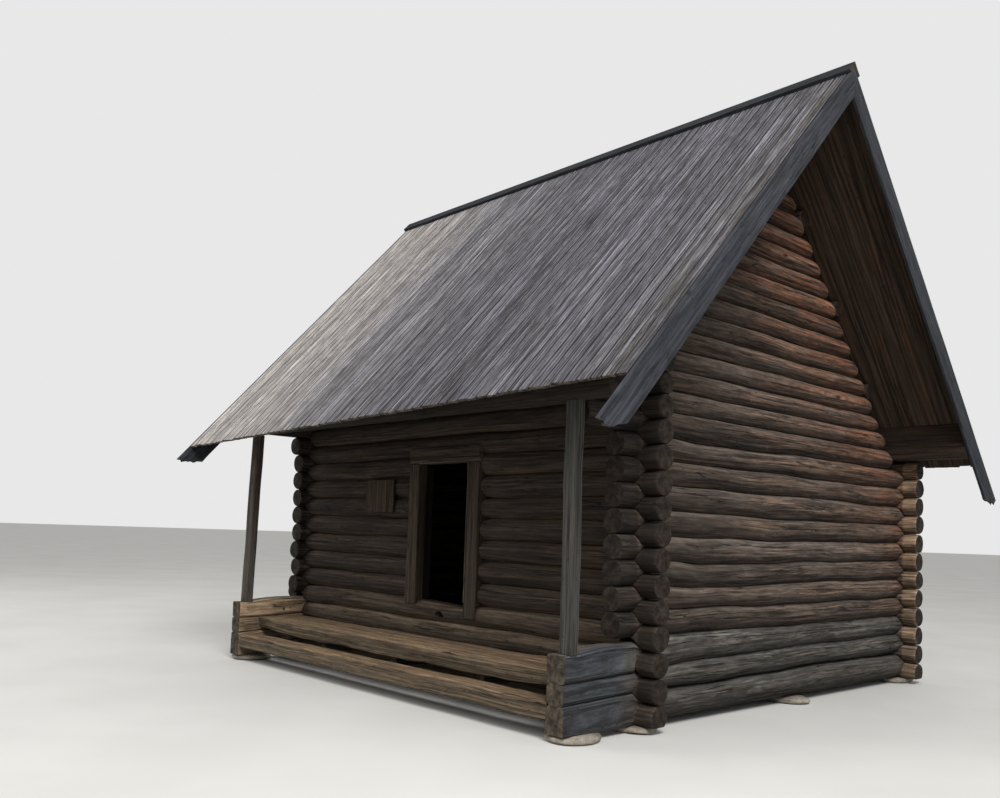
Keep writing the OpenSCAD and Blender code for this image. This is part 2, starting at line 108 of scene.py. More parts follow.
def tone_of(rng, light=1.0, spread=0.12, warm=0.4, warm_spread=0.25):
    """A timber's brightness, warmth and seed, and a fourth value of 1 for no painted shade or dirt."""
    return np.array([
        light * (1 + rng.uniform(-spread, spread)),
        unit(warm + rng.uniform(-warm_spread, warm_spread)),
        rng.uniform(0, 1), 1.0,
    ])


# Meshes
def closed(grid):
    """Rows with their first value again at their end."""
    return np.concatenate([grid, grid[:, :1]], 1)


def corners(grid):
    """Values at the four corners of each quad of a grid."""
    return np.stack([grid[:-1, :-1], grid[:-1, 1:], grid[1:, 1:], grid[1:, :-1]], -1).reshape(-1, 4)


def lengths(outline):
    """Distance of each point along an outline from its first point."""
    return np.concatenate([[0], np.cumsum(np.linalg.norm(np.diff(outline, axis=0), axis=1))])


class Body:
    """Collects closed lofts into one mesh with grain coordinates, a tone and two material slots."""

    def __init__(self):
        self.points, self.count = [], 0
        self.loops, self.sizes, self.uvs, self.tones, self.slots = [], [], [], [], []

    def _add(self, corners, uv, tone, slot, alpha=1.0):
        self.loops.append(corners.reshape(-1))
        self.sizes.append(np.full(len(corners), corners.shape[1]))
        self.uvs.append(uv.reshape(-1, 2))
        tones = np.tile(tone, (corners.size, 1))
        tones[:, 3] = np.reshape(alpha, -1)
        self.tones.append(tones)
        self.slots.append(np.full(len(corners), slot))

    def loft(self, rings, along, across, tone, cap_rows=(0.5,), pith=(0, 0), bulge=0.0, end_slot=1,
             rng=None, shade=1.0):
        """Rings (m, n, 3) joined by quads and closed at both ends. shade is painted shade, with some dirt: 1
        on open wood, 0 in joints.
        """
        m, n = rings.shape[:2]
        axis = rings[-1].mean(0) - rings[0].mean(0)
        axis /= np.linalg.norm(axis)
        along, across, shade = (np.broadcast_to(part, (m, n)) for part in (along, across, shade))
        centre = rings.mean((0, 1))
        after = np.roll(rings, -1, 1)
        a, b, c = rings[:-1] - centre, after[:-1] - centre, after[1:] - centre
        if np.einsum("ijk,ijk->", a, np.cross(b, c)) < 0:
            rings, along, across, shade = (part[:, ::-1] for part in (rings, along, across, shade))
        start = self.count
        self.points.append(rings.reshape(-1, 3))
        self.count += m * n
        wrapped = np.concatenate([across, across[:, [-1]] + (across[:, [1]] - across[:, [0]])], 1)
        quads = corners(closed(np.arange(start, self.count).reshape(m, n)))
        uv = np.stack([corners(closed(along)), corners(wrapped)], -1)
        self._add(quads, uv, tone, 0, corners(closed(shade)))
        side = np.cross([0, 0, 1.0], axis)
        side = side / np.linalg.norm(side) if np.linalg.norm(side) > 0.3 else np.array([1.0, 0, 0])
        up = np.cross(axis, side)
        for end in (0, 1):
            outer = rings[-1 if end else 0]
            heart = outer.mean(0) + side * pith[0] + up * pith[1]
            push = axis * (1 if end else -1)
            rows = [outer]
            index = [np.arange(n) + start + (m - 1) * n * end]
            for s in cap_rows:
                ring = heart + (outer - heart) * s + push * bulge * (1 - s * s)
                if rng is not None:
                    ring = ring + push * rng.normal(0, bulge * 0.25 + 0.0004, (n, 1))
                rows.append(ring)
                self.points.append(ring)
                index.append(np.arange(n) + self.count)
                self.count += n
            self.points.append((heart + push * bulge)[None])
            tip = np.full(n, self.count)
            self.count += 1
            flat = [np.stack([(row - heart) @ side, (row - heart) @ up], -1) for row in rows]
            here = np.arange(n)
            one, two = (here, np.roll(here, -1)) if end else (np.roll(here, -1), here)
            for p, q, fp, fq in zip(index, index[1:], flat, flat[1:]):
                self._add(np.stack([p[one], p[two], q[two], q[one]], -1),
                          np.stack([fp[one], fp[two], fq[two], fq[one]], 1), tone, end_slot)
            p, fp = index[-1], flat[-1]
            self._add(np.stack([p[one], p[two], tip], -1),
                      np.stack([fp[one], fp[two], np.zeros((n, 2))], 1), tone, end_slot)

    def make(self, name, materials, slot, nodes=None, sharp=38):
        """The finished piece, in place of the CAD nodes given or else of the one with its name."""
        nodes = [name] if nodes is None else nodes
        mesh = bpy.data.meshes.new(name + "_look")
        points = np.concatenate(self.points).astype(np.float32)
        collected = self.loops, self.sizes, self.slots
        loops, sizes, slots = (np.concatenate(q).astype(np.int32) for q in collected)
        mesh.vertices.add(len(points))
        mesh.vertices.foreach_set("co", points.reshape(-1))
        mesh.loops.add(len(loops))
        mesh.loops.foreach_set("vertex_index", loops)
        mesh.polygons.add(len(sizes))
        mesh.polygons.foreach_set("loop_start", np.concatenate([[0], np.cumsum(sizes)[:-1]]).astype(np.int32))
        mesh.polygons.foreach_set("material_index", slots)
        mesh.update(calc_edges=True)
        layer = mesh.uv_layers.new(name="grain")
        layer.data.foreach_set("uv", np.concatenate(self.uvs).astype(np.float32).reshape(-1))
        tones = mesh.color_attributes.new("tone", "FLOAT_COLOR", "CORNER")
        tones.data.foreach_set("color", np.concatenate(self.tones).astype(np.float32).reshape(-1))
        mesh.shade_smooth()
        mesh.set_sharp_from_angle(angle=math.radians(sharp))
        mesh.validate()
        for material in materials:
            mesh.materials.append(material)
        obj = placed(name + "_look", mesh)
        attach(obj, "root")
        if nodes:
            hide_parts(*nodes)
        return obj


def placed(name, data):
    """A new object of the scene."""
    obj = bpy.data.objects.new(name, data)
    bpy.context.scene.collection.objects.link(obj)
    return obj


def solids(node):
    """Lowest and highest corners of the separate solids of a CAD node, from the ground up."""
    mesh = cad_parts[node].data
    co = np.empty(len(mesh.vertices) * 3)
    mesh.vertices.foreach_get("co", co)
    edges = np.empty(len(mesh.edges) * 2, int)
    mesh.edges.foreach_get("vertices", edges)
    keys, inverse = np.unique(np.round(co.reshape(-1, 3), 5), axis=0, return_inverse=True)
    a, b = inverse.reshape(-1)[edges.reshape(-1, 2)].T
    label = np.arange(len(keys))
    while True:
        new = label.copy()
        low = np.minimum(label[a], label[b])
        np.minimum.at(new, a, low)
        np.minimum.at(new, b, low)
        new = new[new]
        if (new == label).all():
            break
        label = new
    found = [(keys[label == k].min(0), keys[label == k].max(0)) for k in np.unique(label)]
    return sorted(found, key=lambda box: (round(box[1][2], 3), round(box[0][0], 3), round(box[0][1], 3)))


def log_stations(u0, u1, step, noses, saddles, seats):
    """Places of a log's rings, close together at its ends, saddles and seats."""
    arch = np.array([0.35, 0.6, 0.78, 0.9, 0.97, 0.999, 1.02])
    near_end, nose_rows, least = [0, 0.004, 0.010, 0.018, 0.04], np.linspace(0.08, 1, 9), 0.0016
    places = [np.arange(u0, u1, step), [u1]]
    for end, inward, nose in ((u0, 1, noses[0]), (u1, -1, noses[1])):
        places.append(end + inward * np.array(near_end + (list(nose * nose_rows) if nose else [])))
    for uc, radius, _ in saddles:
        places.append(uc + radius * np.concatenate([-arch, [0], arch]))
    for s0, s1, _, _ in seats:
        places.append(np.array([s0 - 0.002, s0 + 0.002, s1 - 0.002, s1 + 0.002]))
    u = np.unique(np.concatenate([np.asarray(p, float) for p in places]))
    u = u[(u >= u0 - 1e-9) & (u <= u1 + 1e-9)]
    keep = np.concatenate([[True], np.diff(u) > least])
    keep[-1] = True
    u = u[keep]
    u[0], u[-1] = u0, u1
    return u


def log_angles(rng, u, around, cracks):
    """Angle and crack depth of each point of a log's rings. Cracks wander along its sides."""
    angles = np.mod(np.linspace(0, TAU, around, endpoint=False) + rng.uniform(0, TAU / around), TAU)
    tracks = []
    for _ in range(cracks):
        at = np.mod((math.pi if rng.random() < 0.5 else 0.0) + rng.uniform(-0.75, 0.8), TAU)
        if all(abs(math.remainder(at - t[0], TAU)) > 0.45 for t in tracks):
            tracks.append((at, rng.uniform(0.010, 0.024), rng.uniform(0.016, 0.03)))
    for at, _, _ in tracks:
        angles = angles[np.abs(np.remainder(angles - at + math.pi, TAU) - math.pi) > 0.17]
    marks = [(a, 0, 0, 0) for a in angles]
    for at, deep, width in tracks:
        marks += [(at - width * 1.6, at, 0, -1), (at, at, deep, 0), (at + width * 1.6, at, 0, 1)]
    marks.sort(key=lambda mark: mark[0] % TAU)
    theta = np.tile([mark[0] % TAU for mark in marks], (len(u), 1))
    depth = np.zeros_like(theta)
    for at, deep, width in tracks:
        path = 0.07 * wave(rng, u, 3.0, 0.25, 7)
        reach = unit(wave(rng, u, 3.2, 0.35, 5) * 1.6 + 0.55)
        for column, mark in enumerate(marks):
            if mark[1] == at and (mark[2] or mark[3]):
                theta[:, column] = mark[1] + path * 0.9 + mark[3] * width * (0.35 + 0.65 * reach)
                if mark[2]:
                    depth[:, column] = deep * reach
    return theta, depth


def log(body, box, axis, key, around, step, below=None, saddles=(), seats=(), noses=(0, 0), waists=(),
        cracks=1, tone=None, rises=(None, None), hewn=None, crease=(1.0, 1.0)):
    """A round timber in the box of its solid. below is (drop, radius) of the log that it fits, saddles are
    (place, radius, drop) of the logs that it straddles, seats are (start, end, height, side) of flat cuts,
    waists are (place, reach, share), rises shift its lower and upper joints along it, and hewn is
    (amount along it, half width, bottom, top) of its squared part."""
    rng = seeded("log", *key)
    lo, hi = box
    run, side = (0, 1) if axis == "x" else (1, 0)
    u0, u1 = lo[run], hi[run]
    r = (hi[side] - lo[side]) / 2
    cv, cw = (hi[side] + lo[side]) / 2, hi[2] - r
    u = log_stations(u0, u1, step, noses, saddles, seats)
    theta, depth = log_angles(rng, u, around, cracks)
    uu = u[:, None]
    lump = sheet_noise(rng, uu, theta, 2.6, 0.28, 4)
    ridge = sheet_noise(rng, uu, theta, 1.2, 0.16, 9, 7)
    radius = r * (1 - 0.012 - 0.026 * (0.5 - 0.5 * lump) - 0.012 * (0.5 - 0.5 * ridge))
    for end in (u0, u1):
        waists = (*waists, (end, 0.16, rng.uniform(0.01, 0.08)))
    for uc, reach, share in waists:
        radius = radius * (1 - share * np.exp(-((uu - uc) / reach) ** 2))
    for end, nose in ((u0, noses[0]), (u1, noses[1])):
        d = np.abs(uu - end)
        if nose:
            t = unit(1 - d / nose)
            shape = 0.24 + 0.76 * np.sqrt(unit(1 - t ** 2))
            top = eased(0.5 + 0.5 * np.sin(theta))
            radius = radius * (shape * top + (0.62 + 0.38 * shape) * (1 - top))
        bevel = rng.uniform(0.005, 0.012) * (1 + 0.5 * np.sin(theta * 2 + rng.uniform(0, TAU)))
        radius = radius - bevel * unit(1 - d / 0.018) ** 1.5
    radius = radius - depth
    v = radius * np.cos(theta) + 0.004 * wave(rng, uu, 4.0, 1.2, 3)
    w = radius * np.sin(theta) + 0.003 * wave(rng, uu, 4.0, 1.2, 3)
    amount = 0 * uu
    if hewn:
        share_of, half, bottom, top = hewn
        amount = share_of(uu)
        c, z = np.cos(theta), np.sin(theta)
        flat_v = (half - depth) * (1 - 0.03 * (1 - ridge)) * np.sign(c) * np.abs(c) ** 0.3
        flat_w = np.where(z > 0, top, bottom) * np.abs(z) ** 0.3
        v, w = v + (flat_v - v) * amount, w + (flat_w - w) * amount
    if below is not None:
        drop, rb = below
        floor = -drop - 0.011 + np.sqrt(np.clip(rb ** 2 - v ** 2, 0, None)) - 0.3 * amount
        w = np.where((np.abs(v) < rb) & (theta > math.pi), np.maximum(w, floor), w)
    low, high = (rise(uu) if rise else 0 * uu for rise in rises)
    share = unit(0.5 + 0.62 * w / r)
    w = w + low * (1 - share) + high * share
    v = v * (1 + (high - low) / (5 * r))
    for uc, rs, drop in saddles:
        notch = -drop + np.sqrt(np.clip(rs ** 2 - (uu - uc) ** 2, 0, None))
        w = np.where(np.abs(uu - uc) < rs, np.maximum(w, notch), w)
    for s0, s1, z, kind in seats:
        z = (z(uu) if callable(z) else z) - cw
        w = np.where((uu >= s0) & (uu <= s1), np.minimum(w, z) if kind < 0 else np.maximum(w, z), w)
    shift = rng.uniform(0, 40, 2)
    tilt = np.abs(0.004 * np.cos(theta - rng.uniform(0, TAU)))
    at = np.tile(uu, (1, theta.shape[1]))
    at[0] += tilt[0]
    at[-1] -= tilt[-1]
    points = np.empty(theta.shape + (3,))
    points[..., run], points[..., side], points[..., 2] = at, cv + v, cw + w
    # Painted shade, partly dirt: darker bands in the joints above and below each log, unless crease turns
    # them off, and in its cracks
    up = np.sin(theta)
    seam_shade = unit((np.abs(up) - 0.82) / 0.16) * np.where(up > 0, crease[1], crease[0])
    shade = np.where(depth > 0.002, 0.25, 1 - 0.6 * seam_shade * (1 - amount))
    if tone is None:
        tone = tone_of(rng)
    body.loft(points, uu + shift[0], theta * r + shift[1], tone, (0.62, 0.28),
              tuple(rng.uniform(-0.018, 0.018, 2)), 0.002, rng=rng, shade=shade)


def board(body, corner, run, side, up, length, width, thick, key, cols, tone, ragged=0.0, edge=0.003,
          wobble=0.002, grooves=(), taper=None, start=0.0, cracks=(), worn=0.0, seam_shade=1.0, underside=None):
    """A sawn or hewn board. corner is the middle of its near end; run, side and up are its axes. taper gives
    (sideways shift, width factor) along it, underside the (rise, lean) of its lower part, and cracks are
    (place across, start, end, depth)."""
    rng = seeded("board", *key)
    half, top_h = width / 2, thick / 2
    e = min(edge, thick * 0.3, half * 0.5)
    band = e + min(0.012, half * 0.3)
    # Painted shade at the seams between boards: darker edges and side faces, weaker where the seam value is
    # low
    dark, flank_shade = 1 - 0.7 * seam_shade, 1 - 0.4 * seam_shade
    levels = [thick * q for q in (-0.3, -0.12, 0.08, 0.28)] if thick > 0.1 else []
    outline = [(-half, -top_h + e, flank_shade)] + [(-half, q, 1) for q in levels]
    outline += [(-half, top_h - e, dark), (-half + e, top_h, dark), (-half + band, top_h, 1)]
    # Painted shade down the middle of each groove
    for g in grooves:
        c = -half + g * width
        outline += [(c - 0.006, top_h, 0.95), (c, top_h - 0.004, 0.35), (c + 0.006, top_h, 0.95)]
    spread = [] if grooves else list(np.linspace(-half + band, half - band, 6)[1:-1])
    splits = [(place - 0.5) * width for place, _, _, _ in cracks]
    inner = [c for c in spread if all(abs(c - q) > 0.012 for q in splits)]
    outline += [(c, top_h, 1) for c in sorted(inner + [q + d for q in splits for d in (-0.005, 0, 0.005)])]
    outline += [(half - band, top_h, 1), (half - e, top_h, dark), (half, top_h - e, dark)]
    outline += [(half, q, 1) for q in reversed(levels)]
    outline += [(half, -top_h + e, flank_shade), (half - e, -top_h, dark)]
    outline += [(c, -top_h, 1) for c in reversed(spread)] + [(-half + e, -top_h, dark)]
    outline = np.array(outline)[::-1]
    t, h, clean_and_unshaded = outline.T[:, None]
    inside = np.linspace(0, 1, cols)[1:-1] * (length - 0.008) + 0.004
    s = np.concatenate([[0, 0.004], inside, [length - 0.004, length]])[:, None]
    move, factor = taper(s + start) if taper else (0.0, 1.0)
    across = t * factor + move + wobble * wave(rng, s, 2.2, 0.5, 4)
    height = h + wobble * 0.6 * wave(rng, s, 3.0, 0.8, 3)
    height = height + wobble * 0.5 * wave(rng, t * 8 + s * 0.7, 1.3, 0.4, 4)
    if worn:
        at_edge = (np.abs(t) > half - e - 0.001) & (h > 0)
        height = height - at_edge * worn * (0.5 + 0.5 * wave(rng, s + t, 0.9, 0.12, 6))
    if underside is not None:
        depth = unit(0.5 - h / thick)
        rise, lean = underside(s)
        height = height + rise * depth
        across = across + lean * depth ** 2 * (t < 0)
    at_end = (s == 0) | (s == length)
    height = np.sign(h) * (np.abs(height) - at_end * min(edge, 0.004))
    rag = np.interp((t[0] + half) / width, np.linspace(0, 1, 12), ragged * rng.uniform(0, 1, 12))
    run_at = s - unit((s - (length - 0.5)) / 0.5) ** 1.5 * rag[None]
    shade = np.tile(clean_and_unshaded, (len(s), 1))
    for place, a, b, deep in cracks:
        near = np.argmin(np.abs(t[0] - (place - 0.5) * width) + (h[0] < thick * 0.49) * 9)
        on = unit(np.minimum((s[:, 0] - a) / 0.2, (b - s[:, 0]) / 0.2))
        height[:, near] -= deep * on
        # Painted shade along each crack as well as its cut
        shade[:, near] *= 1 - 0.75 * on
    corner, run, side, up = (np.asarray(q, float) for q in (corner, run, side, up))
    points = corner + run_at[..., None] * run + across[..., None] * side + height[..., None] * up
    shift = rng.uniform(0, 40, 2)
    body.loft(points, s + shift[0], lengths(outline[:, :2])[None] + shift[1], tone, rng=rng, shade=shade)


# Materials
def lin(rgb):
    """Linear colour of three display values from 0 to 255."""
    shares = [c / 255 for c in rgb]
    return (*(q / 12.92 if q <= 0.04045 else ((q + 0.055) / 1.055) ** 2.4 for q in shares), 1.0)


class Value:
    """An output in a node tree, for sums such as a * 2 + b."""

    def __init__(self, graph, socket):
        self.graph, self.socket = graph, socket

    def math(self, op, other=0.0, clamp=False):
        return self.graph.node("Math", 0, {0: self, 1: other}, operation=op, use_clamp=clamp)

    def __add__(self, other):
        return self.math("ADD", other)

    def __sub__(self, other):
        return self.math("SUBTRACT", other)

    def __mul__(self, other):
        return self.math("MULTIPLY", other)

    def __abs__(self):
        return self.math("ABSOLUTE")

    def max(self, other):
        return self.math("MAXIMUM", other)

    def step(self, low, high, to_low=0.0, to_high=1.0, kind="SMOOTHSTEP"):
        """Eased change from to_low at low to to_high at high."""
        values = {0: self, 1: low, 2: high, 3: to_low, 4: to_high}
        return self.graph.node("MapRange", 0, values, interpolation_type=kind)

    def output(self, name):
        """Another output of the same node."""
        return Value(self.graph, self.socket.node.outputs[name])


class Graph:
    """Short calls for the nodes of a material or world."""

    def __init__(self, owner):
        owner.use_nodes = True
        self.owner, self.tree = owner, owner.node_tree
        self.tree.nodes.clear()

    def node(self, kind, out=0, inputs=None, **props):
        """An output of a new node whose inputs are given by number or name."""
        made = self.tree.nodes.new("ShaderNode" + kind)
        for key, value in props.items():
            setattr(made, key, value)
        for key, value in (inputs or {}).items():
            if isinstance(value, Value):
                self.tree.links.new(value.socket, made.inputs[key])
            else:
                made.inputs[key].default_value = value
        return Value(self, made.outputs[out])

    def noise(self, vector, detail=3.0, rough=0.55, scale=1.0):
        values = {"Vector": vector, "Scale": scale, "Detail": detail, "Roughness": rough}
        return self.node("TexNoise", 0, values)

    def combine(self, x, y, z):
        return self.node("CombineXYZ", 0, {0: x, 1: y, 2: z})

    def split(self, vector):
        made = self.node("SeparateXYZ", 0, {0: vector}).socket.node
        return [Value(self, out) for out in made.outputs]

    def mix(self, share, a, b, blend="MIX"):
        values = {0: share, 6: a, 7: b}
        return self.node("Mix", 2, values, data_type="RGBA", blend_type=blend, clamp_factor=True)

    def dim(self, colour, light):
        """The colour times a plain value."""
        return self.mix(1.0, colour, self.combine(light, light, light), "MULTIPLY")

    def tone(self):
        """The mesh's tone colour."""
        return self.node("Attribute", "Color", attribute_name="tone", attribute_type="GEOMETRY")

    def end(self, kind, surface):
        self.tree.links.new(surface.socket, self.tree.nodes.new("ShaderNodeOutput" + kind).inputs[0])
        return self.owner

    def finish(self, colour, rough, height, distance):
        bump = self.node("Bump", 0, {"Strength": 1.0, "Distance": distance, "Height": height})
        values = {"Base Color": colour, "Roughness": rough, "Specular IOR Level": 0.22, "Normal": bump}
        return self.end("Material", self.node("BsdfPrincipled", 0, values))


def wood(name, dark, light, grey, warm, grain=(0.9, 34.0), grain_low=0.40, grain_high=0.62, patch=0.55,
         crack=1.0, crack_scale=(0.7, 17.0), knots=0.7, knot_scale=(2.6, 4.6), knot_size=1.0, bump=0.004,
         green=0.0, low_dark=0.0, zones=(), sky=0.5, fibre=0.35, fleck=0.0):
    """Weathered wood along a piece's grain coordinates. zones are (tint, share, depth of grain)."""
    g = Graph(bpy.data.materials.new(name))
    dark, light, grey, warm = map(lin, (dark, light, grey, warm))
    u, a, _ = g.split(g.node("UVMap", uv_map="grain"))
    tone = g.tone()
    light_of, warm_of, seed = g.split(tone)
    seed = seed * 31.0
    where = g.split(g.node("TexCoord", "Object"))
    facing = g.split(g.node("NewGeometry", "Normal"))

    def at(along, over, k, across=a):
        return g.combine(u * along, across * over, seed + k)

    # Grain bent by slow drift and round the knots
    drift = g.noise(at(0.7, 2.2, 3.0), 2.0)
    near = g.node("TexVoronoi", "Distance", {"Vector": at(*knot_scale, 5.0), "Randomness": 1.0})
    least = 1 - 0.5 * knots
    chosen = g.split(near.output("Color"))[0].step(least, least + 0.02)
    knot = near.step(0.135 * knot_size, 0.075 * knot_size) * chosen
    bent = a + (drift - 0.5) * 0.055 + near.step(0.34, 0.05) * chosen * 0.016
    lines = g.noise(at(*grain, 0.0, bent), 7.0, 0.66)
    fine = g.noise(at(5.0, 210.0, 1.0, bent), 3.0, 0.6)
    broad = g.noise(at(0.75, 3.4, 7.0), 4.0, 0.6)
    blot = g.noise(at(1.6, 9.0, 11.0), 5.0, 0.65)
    veins = g.noise(at(*crack_scale, 13.0, bent), 2.5, 0.5)
    broken = g.noise(at(0.9, 5.0, 17.0), 2.0).step(0.46, 0.6)
    split = (abs(veins - 0.5).step(0.0, 0.016, 1.0, 0.0) * broken).math("MULTIPLY", crack, clamp=True)
    body = lines * 0.75 + fine * 0.25
    streaks = body.step(grain_low, grain_high)

    # Grey and warm wood, paler tops as painted light, zones of its own, growth, and darker wood towards the
    # ground
    colour = g.mix(streaks, dark, light)
    colour = g.mix(broad.step(0.4, 0.66) * patch, colour, grey)
    colour = g.mix(warm_of * blot.step(0.3, 0.72, 0.25, 1.0), colour, g.mix(0.75, colour, warm, "MULTIPLY"))
    # Upward faces turn paler grey, partly weathering and partly painted light from above
    turned = facing[2] + (blot - 0.5) * 0.8
    if sky:
        colour = g.mix(turned.step(0.25, 0.95, 0.0, 0.6 * sky), colour, grey)
    for tint, share, depth in zones:
        mottled = g.mix(streaks, g.mix(depth, lin(tint), lin((20, 15, 11))), lin(tint))
        colour = g.mix(share(where, blot, facing), colour, mottled)
    if green:
        colour = g.mix(blot.step(0.5, 0.7) * where[2].step(1.9, 0.3) * green, colour, lin((50, 54, 38)))
    if low_dark:
        colour = g.mix(where[2].step(0.55, 0.05) * low_dark, colour, lin((26, 22, 19)))

    # Pale fibres, painted light from the sky, flecks, knots, cracks, and painted shade in joints, grooves and
    # the logs' cracks
    strand = g.noise(at(1.3, 120.0, 23.0, bent), 4.0, 0.7).step(0.56, 0.7)
    colour = g.mix(strand * fibre, colour, g.mix(1.0, colour, (2.1, 2.1, 2.1, 1), "MULTIPLY"))
    # Painted shade on faces turned down
    if sky:
        colour = g.dim(colour, turned.step(-0.75, 0.35, 1 - 0.75 * sky, 1.0))
    if fleck:
        spots = g.noise(at(5.0, 36.0, 29.0, bent), 3.0, 0.6)
        colour = g.dim(colour, spots.step(0.34, 0.66, 1 - fleck, 1 + fleck))
    colour = g.mix(knot * 0.8, colour, lin((26, 19, 15)))
    colour = g.mix(split * 0.9, colour, lin((13, 11, 9)))
    # The tone's alpha darkens joints, grooves and cracks: painted shade, with some dirt in the log joints
    clean_and_unshaded = tone.output("Alpha") + (blot - 0.5) * 0.5
    colour = g.dim(colour, light_of * clean_and_unshaded.step(0.15, 0.9, 0.16, 1.0))
    height = lines * 0.9 + fine * 0.3 + knot * 0.5 - split * 1.6
    return g.finish(colour, body.step(0.3, 0.7, 0.95, 0.8, "LINEAR"), height, bump)


def end_grain(name, dark, light, rings=260.0):
    """The sawn or hewn end of a timber: growth rings, radial checks and dirt."""
    g = Graph(bpy.data.materials.new(name))
    x, y, _ = g.split(g.node("UVMap", uv_map="grain"))
    light_of, warm_of, seed = g.split(g.tone())
    seed = seed * 23.0
    warp = g.noise(g.combine(x * 14.0, y * 14.0, seed))
    far = (x * x + y * y).math("SQRT") + warp * 0.02
    ring = (far * (rings * 3.0)).math("SINE")
    rays = g.noise(g.combine(y.math("ARCTAN2", x) * 3.2, far * 5.0, seed), 3.0, 0.6)
    check = abs(rays - 0.5).step(0.0, 0.018, 1.0, 0.0) * far.step(0.01, 0.04)
    dirt = g.noise(g.combine(x * 13.0, y * 13.0, seed + 4.0), 7.0, 0.62)
    colour = g.mix(dirt.step(0.32, 0.68), lin(dark), lin(light))
    colour = g.mix(ring.step(-0.2, 1.0) * 0.22, colour, lin((40, 32, 26)))
    colour = g.mix(warm_of * 0.45, colour, g.mix(1.0, colour, lin((255, 205, 160)), "MULTIPLY"))
    colour = g.dim(g.mix(check * 0.6, colour, lin((14, 11, 9))), light_of)
    return g.finish(colour, dirt.step(0.3, 0.7, 0.95, 0.82), ring * 0.12 + dirt - check * 1.4, 0.004)


def stone_material():
    g = Graph(bpy.data.materials.new("field_stone"))
    p = g.node("TexCoord", "Object")
    big = g.noise(p, 5.0, 0.6, 5.0)
    small = g.noise(p, 6.0, 0.7, 38.0)
    speck = g.node("TexVoronoi", "Distance", {"Vector": p, "Scale": 120.0})
    colour = g.mix(big.step(0.35, 0.65), lin((112, 106, 98)), lin((158, 150, 138)))
    colour = g.mix(small.step(0.45, 0.65) * 0.5, colour, lin((92, 84, 74)))
    colour = g.mix(speck.step(0.25, 0.1) * 0.3, colour, lin((190, 184, 172)))
    return g.finish(colour, small.step(0.3, 0.7, 0.95, 0.8), big + small * 0.5, 0.006)


# Zones of a wood: where is (x, y, z), blot a noise and facing the normal
def back_and_high(where, blot, facing):
    """Warm, sheltered wood high on the gable and towards the back."""
    return (where[1] * 0.32 + where[2] * 0.36).step(0.9, 2.3) * blot.step(0.34, 0.66, 0.12, 0.85)


def back_ends(where, blot, facing):
    """Hewn faces of the log ends behind the back wall."""
    out = abs(where[0]).step(2.79, 2.82)
    behind = where[1].step(3.1, 3.2).max(out * where[1].step(2.6, 2.9))
    return behind * blot.step(0.36, 0.6, 0.35, 0.95)


def painted_sunlight_left(where, blot, facing):
    """Painted sunlight: paler planks at the roof's left."""
    return (where[0] * -0.30 + where[2] * -0.06).step(-0.35, 0.95) * blot.step(0.25, 0.7, 0.5, 0.95)


def right_edge(where, blot, facing):
    """Green and brown growth beside the right bargeboards."""
    return where[0].step(3.0, 3.6) * blot.step(0.34, 0.62, 0.05, 0.55)


def right_part(where, blot, facing):
    """The darker right part of the roof."""
    return where[0].step(-1.5, 3.2) * blot.step(0.3, 0.65, 0.35, 0.8)


def weathered_and_shaded_corner_ends(where, blot, facing):
    """Ends of the logs that stand out at the front corners, darkened as weathering and as painted shade."""
    out = abs(where[0]).step(2.74, 2.82) * where[1].step(0.0, -1.0)
    return out.max(where[1].step(-1.98, -2.06)) * blot.step(0.3, 0.6, 0.6, 1.0)


def trodden(where, blot, facing):
    """The lowest logs of the front wall, worn paler beside the porch floor."""
    return where[2].step(1.0, 0.75) * blot.step(0.3, 0.6, 0.35, 0.95)


def shaded_upright(where, blot, facing):
    """Upright faces of the porch timbers, darker than their tops: painted shade."""
    return facing[2].step(0.75, 0.35, 0.0, 0.85)


def scuffed(where, blot, facing):
    """Pale scuffs along the lowest logs."""
    return blot.step(0.56, 0.68) * where[1].step(-1.9, -1.6, 0.0, 0.55)


def outward(where, facing):
    return facing[0] * where[0].math("SIGN")


def wing_outside(where, blot, facing):
    """Blue-grey outer faces of the wings in front of the corners."""
    share = where[1].step(-2.0, -2.3) * outward(where, facing).step(0.05, 0.4)
    return share * blot.step(0.3, 0.6, 0.55, 1.0)


def sunlit_wing_inside(where, blot, facing):
    """Tan inner faces of the wings at both ends of the porch: painted sunlight."""
    share = where[1].step(-1.95, -2.05) * outward(where, facing).step(-0.05, -0.4)
    return share * blot.step(0.35, 0.6, 0.45, 1.0)


WALL = wood(
    "wall_log", (23, 18, 15), (112, 97, 85), (100, 93, 87), (255, 214, 180), bump=0.007,
    green=0.45, low_dark=0.35, sky=0.75, fibre=0.55, fleck=0.3,
    zones=(((160, 102, 72), back_and_high, 0.8), ((172, 146, 120), back_ends, 0.65),
           ((50, 45, 41), weathered_and_shaded_corner_ends, 0.65)))
# A darker copy of the wall wood for the front wall and plate under the porch roof: painted shade
SHADED_LOG = wood(
    "shaded_log", (24, 19, 15), (84, 70, 56), (62, 54, 46), (255, 215, 175), patch=0.35, bump=0.006,
    fleck=0.2, zones=(((124, 108, 88), trodden, 0.6), ((46, 41, 37), weathered_and_shaded_corner_ends, 0.65)))
GREY = wood(
    "grey_log", (25, 23, 22), (94, 90, 86), (86, 84, 82), (255, 226, 196), patch=0.5, bump=0.008,
    green=0.4, low_dark=0.45, sky=0.7, fibre=0.5, fleck=0.3,
    zones=(((150, 147, 142), scuffed, 0.5), ((72, 78, 86), wing_outside, 0.75),
           ((196, 168, 138), sunlit_wing_inside, 0.5)))
FRAME = wood("door_frame", (27, 22, 18), (74, 63, 51), (58, 52, 45), (255, 220, 186), knots=0.5)
HEWN = wood(
    "hewn_timber", (28, 27, 26), (84, 82, 77), (68, 67, 66), (255, 216, 176), grain=(0.6, 44.0), knots=0.5)
